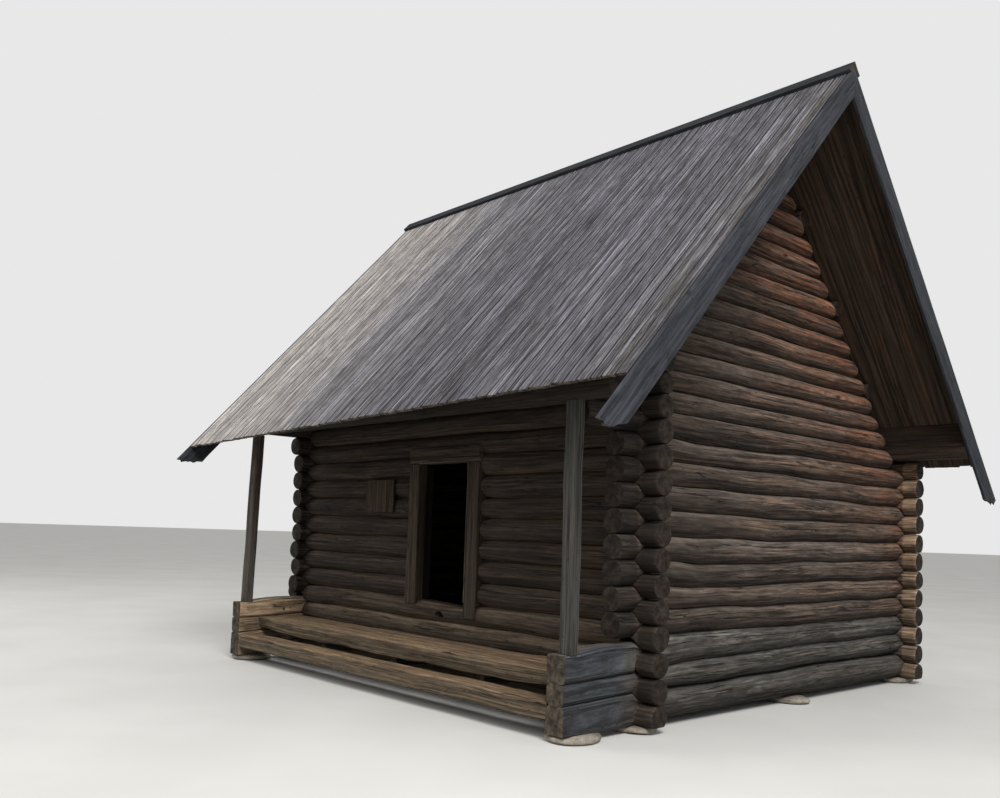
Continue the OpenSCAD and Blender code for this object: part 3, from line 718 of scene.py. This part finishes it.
TREAD = wood(
    "plank", (58, 46, 35), (150, 128, 100), (124, 107, 87), (255, 214, 172), grain=(0.8, 52.0), patch=0.45,
    knots=0.8, sky=0.3, fleck=0.22, zones=(((104, 92, 76), shaded_upright, 0.7),))
UNDER = wood(
    "under_board", (29, 24, 20), (78, 63, 50), (57, 50, 43), (255, 214, 178), crack=0.5, knots=0.8, sky=0.0,
    fibre=0.5)
ROOFING = wood(
    "roof_plank", (42, 42, 47), (132, 131, 140), (104, 103, 112), (255, 226, 192), grain=(0.8, 60.0),
    grain_low=0.42, grain_high=0.59, patch=0.45, crack_scale=(0.6, 30.0), knots=0.9,
    knot_scale=(3.4, 11.0), knot_size=1.7, bump=0.003, sky=0.0, fleck=0.34,
    zones=(((206, 199, 192), painted_sunlight_left, 0.5), ((98, 97, 103), right_part, 0.75),
           ((84, 82, 70), right_edge, 0.6)))
EDGE = wood(
    "roof_edge", (27, 29, 33), (62, 65, 72), (46, 49, 56), (255, 236, 220), grain=(0.8, 46.0), patch=0.6,
    knots=0.6, sky=0.0, fleck=0.25)
ENDS = end_grain("log_end", (20, 17, 15), (54, 47, 40))
GREY_ENDS = end_grain("grey_log_end", (40, 36, 31), (88, 80, 69))
BOARD_ENDS = end_grain("board_end", (44, 38, 33), (104, 95, 84), 120.0)
STONE = stone_material()


# Logs of the walls, numbered from the ground up
def cross_r(j):
    return LOG_R if j <= COURSES else GABLE_R


def cross_z(j):
    """Height of the axis of front or back log number j."""
    return CROSS_Z0 + j * COURSE_H if j <= COURSES else GABLE_Z0 + (j - COURSES - 0.5) * GABLE_COURSE_H


def side_under(j):
    """Radius and axis height of the side log that cross log number j straddles."""
    if j <= COURSES:
        return (SILL_R, SILL_Z) if j == 1 else (LOG_R, SIDE_Z0 + (j - 1) * COURSE_H)
    return GABLE_R, GABLE_Z0 + (j - COURSES - 1) * GABLE_COURSE_H


def joint(wall, j, corners, amount):
    """Rise of the joint under log number j of a wall, none where the walls cross."""
    def rise(u):
        fade = np.ones_like(u)
        for c in corners:
            fade = fade * unit((np.abs(u - c) - 0.16) / 0.7)
        return eased(fade) * amount * wave(seeded("joint", wall, j), u, 8.0, 1.2, 4)
    return rise


def side_joint(end, i):
    """Rise of the joint under log number i of a side wall."""
    points = WING_JOINTS.get((end, i))
    if points is None:
        rng = seeded("sag", end, i)
        sag = rng.uniform(-0.034, 0.006) if i < 8 else rng.uniform(-0.018, 0.010)
        points = ((FRONT_Y + 0.2, 0.0), (FRONT_Y + 0.75, sag), (0.3, sag * 0.7), (BACK_Y - 0.5, 0.0))
    wander = joint(end, i, (FRONT_Y, BACK_Y), 0.015)
    return lambda u: wander(u) * (u > FRONT_Y) + np.interp(u, *zip(*points))


def wing_shape(i):
    """The wing logs' squared front part: its share along the log, half width, bottom and top."""
    centre = SIDE_Z0 + i * COURSE_H if i else SILL_Z
    low, high = WING_LEVELS[i:i + 2]
    return lambda u: unit((-1.90 - u) / 0.14), WING_HALF[i], low - centre, high - centre


def shorter(box, axis, place, *key):
    """The box of a log that is cut short at the front left corner."""
    lo, hi = (np.array(q, float) for q in box)
    lo[axis] = max(lo[axis], place + seeded("short", *key).uniform(-0.018, 0.018))
    return lo, hi


def side_saddles(z, i):
    return [(FRONT_Y, LOG_R * 0.94, z - cross_z(i)), (BACK_Y, LOG_R * 0.92, z - cross_z(i))]


STONE_SEAT = (-9, 9, STONE_TOP, 1)


def wing_logs(end, around, step):
    body, name = Body(), end + "_wing_logs"
    for i, box in enumerate(solids(name)):
        z = box[1][2] - (LOG_R if i else SILL_R)
        low, high = side_joint(end, i) if i else None, side_joint(end, i + 1)
        top = i == WING_COURSES - 1
        if top:
            high = lambda u, over=high: over(u) + np.interp(u, *WING_TOP)
        below = (None, (z - SILL_Z, SILL_R), (COURSE_H, LOG_R))[i]
        seats = ([STONE_SEAT], [], [(-9, WING_Y + POST_SEAT_L, POST_SEAT_Z, -1)])[i]
        log(body, box, "y", (end, "wing", i), around, step, below, side_saddles(z, i), seats,
            waists=((FRONT_Y, 0.13, 0.05), (BACK_Y, 0.13, 0.05)), cracks=2,
            tone=tone_of(seeded("wing", end, i), 1.0, 0.1, 0.2, 0.15), rises=(low, high), hewn=wing_shape(i),
            crease=(1.0, 0.0 if top else 1.0))
    body.make(name, [GREY, GREY_ENDS], "grey_log")


def wall_logs(end, around, step, cracks):
    body, name = Body(), end + "_wall_logs"
    for i, box in enumerate(solids(name), WING_COURSES):
        z = box[1][2] - LOG_R
        top = i == COURSES - 1
        if end == "left":
            box = shorter(box, 1, LEFT_TOP_END if top else LEFT_SIDE_END, i)
        log(body, box, "y", (end, "wall", i), around, step, (COURSE_H, LOG_R), side_saddles(z, i),
            noses=(0, 0.17 * top), waists=((FRONT_Y, 0.13, 0.06), (BACK_Y, 0.14, 0.07)), cracks=cracks,
            tone=tone_of(seeded("wall", end, i), 0.98, 0.2, 0.35, 0.3),
            rises=(side_joint(end, i), None if top else side_joint(end, i + 1)))
    body.make(name, [WALL, ENDS], "wall_log")


def gable_logs(end, around, step, cracks):
    body, name = Body(), end + "_gable_logs"
    for k, box in enumerate(solids(name)):
        rng = seeded("gable", end, k)
        z = box[1][2] - GABLE_R
        below = (GABLE_COURSE_H, GABLE_R) if k else (z - (SIDE_Z0 + (COURSES - 1) * COURSE_H), LOG_R)
        straddled = (GABLE_R if k else LOG_R) - 0.003
        saddles = [(FRONT_Y, straddled, z - cross_z(COURSES + k))] if k < 6 else []
        nose = rng.uniform(0.15, 0.21)
        rises = tuple(joint(name[:-5], q, (FRONT_Y,), 0.009) if q else None for q in (k, k + 1))
        log(body, box, "y", (end, "gable", k), around, step, below, saddles,
            noses=(nose * 0.8 if k else 0, nose), cracks=cracks,
            tone=tone_of(rng, 1.0 - 0.012 * k, 0.18, 0.5, 0.35), rises=rises)
    body.make(name, [WALL, ENDS], "wall_log")


def door_sill(u):
    """Height of the sill log's top under the jambs and the doorway, which is worn down to the right."""
    worn = unit((u - DOORWAY_X[0]) / (DOORWAY_X[1] - DOORWAY_X[0])) * (u < DOORWAY_X[1] + 0.002)
    return SILL_TOP - 0.036 * worn


def cross_logs(name, first, material):
    """Logs of the front or back wall, from log number first."""
    body = Body()
    front = name.startswith("front")
    over_jambs = (JAMBS_X[0] - FIT, JAMBS_X[1] + FIT)
    for j, box in enumerate(solids(name), first):
        if name in ("front_wall_left", "front_wall_top"):
            box = shorter(box, 0, LEFT_CROSS_END, "cross", j)
        z = box[1][2] - cross_r(j)
        saddles, waists = [], []
        for x in (WALL_L, WALL_R):
            if j > 0 and box[0][0] < x < box[1][0]:
                radius, height = side_under(j)
                saddles.append((x, radius - 0.004, z - height))
                waists.append((x, 0.24, 0.07 if front else 0.10))
        below = (z - cross_z(j - 1), cross_r(j - 1)) if j > 0 else None
        seats = [] if j else [STONE_SEAT]
        if j == 3:
            seats.append((*over_jambs, door_sill, -1))
        if name == "front_wall_top" and j == first:
            seats.append((*over_jambs, HEAD_TOP + 0.0006, 1))
        rises = tuple(joint(name.split("_")[0], q, (WALL_L, WALL_R), 0.012)
                      if q and (front or q < COURSES) else None for q in (j, j + 1))
        log(body, box, "x", (name, j), 28, 0.09, below, saddles, seats, waists=waists, cracks=2,
            tone=tone_of(seeded(name, j), 1.0, 0.16, 0.3, 0.25), rises=rises)
    return body.make(name, [material, ENDS], "wall_log")


def purlins(name, key, around, step, *tones):
    body = Body()
    for k, box in enumerate(solids(name)):
        log(body, box, "x", (key, k), around, step, tone=tone_of(seeded(key, k), *tones) if tones else None)
    body.make(name, [UNDER, ENDS], "roof_timber")


def cat_hole(obj):
    """Half round hole cut through the sill log."""
    x, z, r, reach = 0.044, 0.736, 0.075, 0.2
    ring = [(x + r * math.cos(a), z + r * math.sin(a)) for a in np.linspace(0, math.pi, 20)]
    n = len(ring)
    points = [(px, FRONT_Y + y, pz) for y in (-reach, reach) for px, pz in ring]
    faces = [tuple(range(n)), tuple(range(2 * n - 1, n - 1, -1))]
    faces += [(i, i + n, (i + 1) % n + n, (i + 1) % n) for i in range(n)]
    mesh = bpy.data.meshes.new("cutter")
    mesh.from_pydata(points, [], faces)
    uv = mesh.uv_layers.new(name="grain")
    for loop in mesh.loops:
        p = mesh.vertices[loop.vertex_index].co
        uv.data[loop.index].uv = (p.y, p.x + p.z)
    cutter = placed("cutter", mesh)
    mod = obj.modifiers.new("hole", "BOOLEAN")
    mod.operation, mod.solver, mod.object = "DIFFERENCE", "EXACT", cutter
    graph = bpy.context.evaluated_depsgraph_get()
    cut = bpy.data.meshes.new_from_object(obj.evaluated_get(graph), depsgraph=graph)
    obj.modifiers.clear()
    obj.data = cut
    bpy.data.objects.remove(cutter)


def build_logs():
    for end, around, step, cracks in (("left", 24, 0.11, 1), ("right", 32, 0.07, 2)):
        wing_logs(end, around, step)
        wall_logs(end, around, step, cracks)
        gable_logs(end, around, step, cracks)
    cat_hole(cross_logs("front_sill_logs", 0, SHADED_LOG))
    cross_logs("front_wall_left", 4, SHADED_LOG)
    cross_logs("front_wall_right", 4, SHADED_LOG)
    cross_logs("front_wall_top", 11, SHADED_LOG)
    cross_logs("back_wall_logs", 0, WALL)
    purlins("ridge_purlin", "ridge", 20, 0.2)
    for name in ("front_purlins", "back_purlins"):
        purlins(name, name, 24, 0.14, 0.95, 0.1, 0.4, 0.2)


# Squared timbers
def beam(name, material, ends, slot, axis, edge=0.009, wobble=0.004, cols=26, tones=(1.0, 0.08, 0.3, 0.2),
         shift=(0, 0, 0), **more):
    """The squared timbers of a node, each in the box of its solid."""
    i, j, m, sign = {"x": (0, 1, 2, 1), "y": (1, 0, 2, 1), "z": (2, 0, 1, -1)}[axis]
    body, axes, shrink = Body(), np.eye(3), wobble * 1.2
    for k, (lo, hi) in enumerate(solids(name)):
        size = hi - lo
        corner = (lo + hi) / 2 + shift
        corner[i] = lo[i] + shift[i]
        key = (name, name, k)
        board(body, corner, axes[i], axes[j], sign * axes[m], size[i], size[j] - shrink, size[m] - shrink,
              key, cols, tone_of(seeded(*key), *tones), edge=edge, wobble=wobble, seam_shade=0.35, **more)
    body.make(name, [material, ends], slot)


def slab(body, x, y, z, axis, key, light, edge=0.005, **more):
    """A board of the door frame that fills x, y and z."""
    box = np.array([x, y, z])
    size, middle = box[:, 1] - box[:, 0], box.sum(1) / 2
    middle[axis] -= size[axis] / 2
    axes = np.eye(3)
    board(body, middle, axes[axis], axes[2 - axis], (0, -1, 0), size[axis], size[2 - axis] - 0.003,
          size[1] - 0.002, ("frame", key), 18, tone_of(seeded("frame", key), light, 0.04, 0.3, 0.1),
          edge=edge, seam_shade=0.25, **more)


def door_frame():
    """Casings in front, with their tongues over the sill log, and recessed rails behind them, painted dark as
    shade. A very light strip down the right jamb and under the head is a painted highlight.
    """
    front, middle, back = FRONT_Y - 0.1345, FRONT_Y - 0.020, FRONT_Y + 0.1345
    whole = (SILL_TOP + FIT, JAMB_TOP)
    tongues, rabbet, bead = (0.852, 0.768), 0.08, (0.001, 0.021)
    for hand, outer, inner, tongue, toward in zip(("left", "right"), JAMBS_X, DOORWAY_X, tongues, (1, -1)):
        body = Body()
        slab(body, sorted((outer, inner)), (front + 0.032, middle), whole, 2,
             hand + "_core", 0.85, wobble=0.002)
        slab(body, sorted((outer, inner + 0.002 * toward)), (front, front + 0.034), (tongue, JAMB_TOP), 2,
             hand + "_face", 1.0, wobble=0.003, worn=0.003)
        # The rear rails at a third of the tone: painted shade in the doorway
        slab(body, sorted((outer, inner - rabbet * toward)), (middle, back), whole, 2, hand + "_rear", 0.35)
        # A thin strip at nearly twice the frame's tone down the right jamb's inner edge: a painted highlight
        if hand == "right":
            slab(body, (inner + bead[0], inner + bead[1]), (front - 0.007, front + 0.004),
                 (0.93, JAMB_TOP), 2, "bead", 1.9, 0.003)
        body.make(hand + "_jamb", [FRAME, BOARD_ENDS], "hewn_timber")
    body, trim_top = Body(), 2.447
    slab(body, JAMBS_X, (front, middle), (trim_top, HEAD_TOP), 0, "head", 0.9, 0.008, wobble=0.003)
    slab(body, JAMBS_X, (front + 0.006, middle), (HEAD_LOW, trim_top + 0.0005), 0,
         "trim", 1.35, 0.004, wobble=0.001)
    # Painted shade: the rail behind the head is as dark as the jambs' rear rails
    slab(body, JAMBS_X, (middle, back), (trim_top + 0.003, HEAD_TOP), 0, "head_rear", 0.35)
    # The same painted highlight under the head
    slab(body, (DOORWAY_X[0], DOORWAY_X[1] + bead[1]), (front - 0.006, front + 0.008), (HEAD_LOW, 2.410), 0,
         "head_bead", 1.9, 0.003)
    body.make("door_head", [FRAME, BOARD_ENDS], "hewn_timber")


def worn_away(q):
    """Rise and lean of the porch planks' undersides, more towards their ends."""
    ends = unit(1 - (q - 0.1) / 1.1) ** 1.5 + unit(1 - (5.3 - q) / 1.3) ** 1.5
    dips = 0.5 + 0.5 * wave(seeded("worn"), q, 1.9, 0.35, 5)
    return 0.034 * ends + 0.012 * dips, 0.010 + 0.018 * dips


def leaning(q):
    """Sideways shift of the left post, which leans in to the right."""
    return 0.045 + 0.048 * q, 1.0


def back_plate():
    """The timber that closes the back eaves, cut to the slope of the boards on it."""
    lo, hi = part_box("back_plate")
    y0, y1, z0, bevel = lo[1], hi[1], lo[2], 0.012
    drop = (UNDER_BOTTOM + 0.0006) / math.cos(PITCH[1])
    tops = [RIDGE_Z - drop - y * math.tan(PITCH[1]) for y in (y0, y1)]
    ring = np.array([(y0 + bevel, z0), (y1, z0), (y1, tops[1]), (y0 + bevel, tops[0]), (y0, tops[0] - bevel),
                     (y0, z0 + bevel)])
    x = np.linspace(lo[0], hi[0], 40)[:, None]
    rng = seeded("back_plate")
    y = ring[:, 0] + 0.003 * wave(rng, x, 3.0, 0.7, 4) * (ring[:, 0] < y1 - 0.01)
    body = Body()
    # The plate's tone of 0.55 is painted shade under the back eaves
    body.loft(np.stack(np.broadcast_arrays(x, y, ring[:, 1]), -1), x, lengths(ring), tone_of(rng, 0.55))
    body.make("back_plate", [UNDER, ENDS], "roof_timber")


def build_timbers():
    door_frame()
    timber, plank = "hewn_timber", "plank"
    # The left post's higher and warmer tone is painted sunlight
    beam("left_post", HEWN, BOARD_ENDS, timber, "z", edge=0.012, cracks=((0.42, 0.3, 1.6, 0.014),),
         tones=(1.4, 0.03, 0.75, 0.1), shift=(0, 0.020, 0), taper=leaning)
    beam("right_post", HEWN, BOARD_ENDS, timber, "z", edge=0.012, cracks=((0.6, 0.2, 1.3, 0.016),),
         tones=(1.0, 0.03, 0.12, 0.05))
    beam("front_plate", SHADED_LOG, ENDS, timber, "x", edge=0.02, cols=40)
    beam("porch_planks", TREAD, BOARD_ENDS, plank, "x", edge=0.012, wobble=0.005, cols=60,
         tones=(1.0, 0.06, 0.3, 0.1), cracks=((0.35, 3.1, 4.6, 0.012),), worn=0.006, underside=worn_away)
    beam("step_beam", TREAD, BOARD_ENDS, plank, "x", edge=0.014, wobble=0.006, cols=60,
         tones=(0.95, 0.05, 0.35, 0.1), cracks=((0.3, 3.3, 5.2, 0.02),), worn=0.008)
    beam("porch_bearers", HEWN, BOARD_ENDS, timber, "y", cols=6)
    beam("floor_planks", UNDER, BOARD_ENDS, plank, "y", edge=0.004, wobble=0.002, cols=12)
    beam("floor_joists", UNDER, BOARD_ENDS, timber, "x", cols=12)
    back_plate()


# Roof
def slope_axes(side):
    """Unit vectors down a slope and out of it."""
    c, s = math.cos(PITCH[side]), math.sin(PITCH[side])
    return np.array([0, side * c, -s]), np.array([0, side * s, c])


def slope_boards(name, side, cols, tones):
    """Boards side by side down one slope, from right to left. The roof planks have two grooves."""
    planks = name.endswith("roof_planks")
    top, bottom = (0.0, ROOF_T) if planks else (UNDER_TOP, UNDER_BOTTOM)
    short, count = (0.0, 54) if planks else (UNDER_BACK, 46)
    ragged, rake, roof_w = 0.022 if planks else 0.02, RAKE_IN if side < 0 else 0.0, 2 * PLANKS_X
    down, out = slope_axes(side)
    body = Body()
    rng = seeded(name)
    cuts = np.cumsum(rng.uniform(0.85, 1.15, count))
    cuts = np.concatenate([[0], cuts / cuts[-1]])
    begin = bottom * math.tan(PITCH[side]) + 0.002
    for k in range(count):
        f0, f1 = cuts[k], cuts[k + 1]
        f = (f0 + f1) / 2
        reach = (FRONT_LEN + (LEFT_LEN - FRONT_LEN) * f if side < 0 else BACK_LEN) - short
        gap = rng.uniform(0.003, 0.007) if planks else rng.uniform(0.001, 0.004)
        full = (f1 - f0) * roof_w

        def taper(s):
            return f * rake * s / LEFT_LEN, 1 - (f1 - f0) * rake * s / LEFT_LEN / full

        length = reach - begin - ragged * rng.uniform(0.1, 1.0)
        lift = rng.uniform(-0.0015, 0.0) if planks else 0.0
        corner = np.array([PLANKS_X - f * roof_w, 0, RIDGE_Z]) + down * begin
        corner = corner - out * ((top + bottom) / 2 - lift)
        grooves = tuple(q + rng.uniform(-0.04, 0.04) for q in (0.33, 0.67)) if planks else ()
        board(body, corner, down, (1, 0, 0), out, length, full - gap, bottom - top - 0.001, (name, k), cols,
              tone_of(rng, *tones), ragged=ragged * 0.4, wobble=0.0012 if planks else 0.001, grooves=grooves,
              taper=taper, start=begin, seam_shade=1.0 if planks else 0.6)
    body.make(name, [ROOFING if planks else UNDER, BOARD_ENDS], "roof_plank" if planks else "under_board")


def ridge_boards():
    """Two boards mitred along the ridge."""
    width, low, high, lip, gap = 0.110, 0.0006, 0.0398, 0.005, 0.0006
    for name, side in (("front_ridge_board", -1), ("back_ridge_board", 1)):
        down, out = slope_axes(side)
        lo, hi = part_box(name)
        x0, x1 = lo[0], hi[0]
        rng = seeded(name)
        slope = math.tan(PITCH[side])
        x = np.concatenate([[x0, x0 + 0.004], np.arange(x0 + 0.1, x1 - 0.05, 0.12), [x1 - 0.004, x1]])
        x = x[:, None]
        outline = [(gap - low * slope, low), (gap - (high - lip) * slope, high - lip)]
        outline += [(lip - high * slope, high)]
        outline += [(q * width, high) for q in (-0.15, 0.05, 0.3, 0.55, 0.8)]
        outline += [(width - lip, high), (width, high - lip), (width, low)]
        outline = np.array(outline)
        s, h = outline.T
        s = s + np.where(s > 0.05, 0.003 * wave(rng, x, 2.6, 0.3, 6) - 0.0035, 0)
        h = h + np.where((h > 0.02) & (s > -0.03), 0.0015 * wave(rng, x + s * 9, 1.7, 0.25, 6) - 0.0015, 0)
        points = x[..., None] * np.array([1.0, 0, 0]) + s[..., None] * down + h[..., None] * out
        points[..., 2] += RIDGE_Z
        body = Body()
        # The boards' half tone is painted shade along the ridge
        body.loft(points, x, lengths(outline), tone_of(rng, 0.5, 0.03, 0.1, 0.05))
        body.make(name, [EDGE, BOARD_ENDS], "roof_edge")


def bargeboard(hand, row, end, side):
    """One of the boards along the roof's ends. end is -1 at the left and 1 at the right."""
    tall, low, thick, front_tail, left_extra, back_tail, slant = 0.207, 0.245, 0.040, 0.529, 0.07, 0.561, 0.9
    name = f"{hand}_{row}_bargeboard"
    down, out = slope_axes(side)
    length = BACK_LEN + back_tail if side > 0 else FRONT_LEN + front_tail + (left_extra if end < 0 else 0)
    turn = math.atan(RAKE_IN / LEFT_LEN) if side < 0 and end < 0 else 0.0
    level = np.array([1.0, 0, 0])
    run = down * math.cos(turn) + level * math.sin(turn)
    across_x = level * math.cos(turn) - down * math.sin(turn)
    start = np.array([end * ROOF_X, 0, RIDGE_Z]) - across_x * end * thick / 2
    rng = seeded(name)
    t = np.concatenate([[0, 0.03], np.linspace(0.03, 0.97, 9)[1:-1], [0.97, 1]])
    q, face = np.concatenate([t, t[::-1]])[None], np.repeat([1, -1], len(t))[None]
    s = np.linspace(0, 1, 70)[:, None]
    tail = np.interp(q, [0, 0.45, 1], [0, 0.040, slant * low])
    bite = np.interp(q, np.linspace(0, 1, 14), rng.uniform(0, 1, 14) ** 2 * 0.06)
    lower = 0.004 * wave(rng, s * length, 2.5, 0.4, 5) * (q > 0.9)
    depth = q * (tall + (low - tall) * s + lower - 0.003)
    head = depth * math.tan(PITCH[side]) + 0.0006
    at = np.maximum(head + s * (length - head) - s ** 24 * (tail + bite), head)
    edge = np.where((q < 0.001) | (q > 0.999), 0.006, 0.0)
    bow = 0.0015 * wave(rng, s * length, 3.5, 1.0, 3)
    ripple = 0.0009 * wave(rng, s * length + q * 2, 1.6, 0.4, 3)
    across = face * (thick / 2 - 0.0026 - edge + ripple) + bow
    points = start + at[..., None] * run - depth[..., None] * out + across[..., None] * across_x
    around = np.cumsum(np.concatenate([[0], np.abs(np.diff(q[0])) * low + (np.diff(face[0]) != 0) * thick]))
    shift = rng.uniform(0, 30, 2)
    body = Body()
    body.loft(points, at + shift[0], around + shift[1], tone_of(rng, 0.98, 0.05, 0.15, 0.1))
    body.make(name, [EDGE, BOARD_ENDS], "roof_edge")


def build_roof():
    slope_boards("front_roof_planks", -1, 26, (1.0, 0.22, 0.2, 0.2))
    slope_boards("back_roof_planks", 1, 20, (0.98, 0.17, 0.3, 0.3))
    slope_boards("front_under_boards", -1, 12, (1.0, 0.16, 0.4, 0.3))
    slope_boards("back_under_boards", 1, 12, (1.0, 0.16, 0.4, 0.3))
    ridge_boards()
    for row, side in (("front", -1), ("back", 1)):
        for hand, end in (("left", -1), ("right", 1)):
            bargeboard(hand, row, end, side)


# Stones and the bare sign plate beside the door
def build_stones():
    body = Body()
    rows = np.linspace(0.12, math.pi - 0.12, 14)
    turn = np.linspace(0, TAU, 40, endpoint=False)
    rr, tt = np.meshgrid(rows, turn, indexing="ij")
    for k, (lo, hi) in enumerate(solids("foundation_stones")):
        middle, size = (lo + hi) / 2, (hi - lo) / 2
        shape = 1 - 0.07 * (1 + sheet_noise(seeded("stone", k), rr, tt, 4.0, 0.9, 5, 8)) / 2
        flat = shape * np.abs(np.sin(rr)) ** 0.45
        points = middle + size * np.stack([
            flat * np.cos(tt), flat * np.sin(tt),
            np.sign(-np.cos(rr)) * np.abs(np.cos(rr)) ** 0.6 * unit(shape + 0.06),
        ], -1)
        body.loft(points, rr, tt, np.ones(4), end_slot=0)
    body.make("foundation_stones", [STONE], "field_stone", sharp=60)


def build_sign():
    x, z, width, height, thick = -1.115, 1.855, 0.56, 0.375, 0.022
    wall_face = FRONT_Y - LOG_R
    body = Body()
    board(body, (x, wall_face - thick / 2, z), (0, 0, 1), (1, 0, 0), (0, -1, 0), height, width, thick,
          ("sign",), 8, np.array([0.8, 0.9, 0.3, 1]), edge=0.004, wobble=0.001)
    profile = ((0.004, -0.004), (0.007, 0.0), (0.006, 0.0025), (0.003, 0.0035))
    turn = np.linspace(0, TAU, 10, endpoint=False)
    for nail_x in (-1.33, -0.90):
        for nail_z in (1.92, 2.165):
            rings = np.array([[
                (nail_x + r * math.cos(a), wall_face - thick - d, nail_z + r * math.sin(a)) for a in turn
            ] for r, d in profile])
            around = np.arange(len(turn)) * 0.003
            body.loft(rings, around, around, np.array([0.35, 0, 0, 1]), cap_rows=(), end_slot=0)
    body.make("sign_plate", [FRAME, BOARD_ENDS], "hewn_timber", nodes=())


# Stage, light and camera
def build_stage():
    n, r = 64, 220.0
    mesh = bpy.data.meshes.new("floor")
    mesh.from_pydata([(r * math.cos(TAU * k / n), r * math.sin(TAU * k / n), 0) for k in range(n)], [],
                     [tuple(range(n))])
    g = Graph(bpy.data.materials.new("pale_floor"))
    p = g.node("TexCoord", "Object")
    colour = g.mix(g.noise(p, 3.0, 0.5, 0.6).step(0.3, 0.7), lin((204, 203, 200)), lin((210, 209, 206)))
    mesh.materials.append(g.finish(colour, 0.9, g.noise(p, 4.0, 0.6, 90.0), 0.0006))
    floor = placed("floor", mesh)


def build_light():
    """An even sky that looks pale grey to the camera, and two soft lamps."""
    world = bpy.data.worlds.new("studio")
    bpy.context.scene.world = world
    g = Graph(world)
    sky = g.node("Background", 0, {0: (1.0, 1.0, 1.0, 1), 1: 0.62})
    backdrop = g.node("Background", 0, {0: lin((232, 232, 232)), 1: 1.0})
    path = g.node("LightPath", "Is Camera Ray")
    seen = path.max(path.output("Is Glossy Ray")).max(path.output("Is Transmission Ray"))
    g.end("World", g.node("MixShader", 0, {0: seen, 1: sky, 2: backdrop}))
    for name, place, target, size, watts in (
        ("key", (14.0, -9.0, 15.0), (0, 0, 2.5), 7.0, 3600.0),
        ("fill", (-13.0, -13.0, 9.0), (0, 0, 2.0), 9.0, 900.0),
    ):
        lamp = bpy.data.lights.new(name, "AREA")
        lamp.energy, lamp.size, lamp.color = watts, size, (1.0, 0.985, 0.96)
        obj = placed(name, lamp)
        obj.location = place
        obj.rotation_mode = "QUATERNION"
        obj.rotation_quaternion = (Vector(target) - Vector(place)).to_track_quat("-Z", "Y")


def build_camera():
    """The photograph's viewpoint, with the focal length in pixels of its width."""
    place, sensor, focal_px, width_px = (8.0163, -8.2557, 1.68), 36.0, 935.9, 1000
    yaw, pitch, roll = (math.radians(a) for a in (46.751, 3.553, 1.871))
    ahead = Vector((-math.sin(yaw) * math.cos(pitch), math.cos(yaw) * math.cos(pitch), math.sin(pitch)))
    level = Vector((math.cos(yaw), math.sin(yaw), 0))
    rise = level.cross(ahead)
    right = level * math.cos(roll) + rise * math.sin(roll)
    up = rise * math.cos(roll) - level * math.sin(roll)
    data = bpy.data.cameras.new("camera")
    data.sensor_width = sensor
    data.lens = focal_px * sensor / width_px
    data.shift_x, data.shift_y = -0.030, 0.075
    data.clip_end = 500.0
    camera = placed("camera", data)
    camera.matrix_world = Matrix.Translation(place) @ Matrix((right, up, -ahead)).transposed().to_4x4()
    bpy.context.scene.camera = camera


build_logs()
build_timbers()
build_roof()
build_stones()
build_sign()
build_stage()
build_light()
build_camera()
bpy.context.scene.view_settings.view_transform = "Standard"
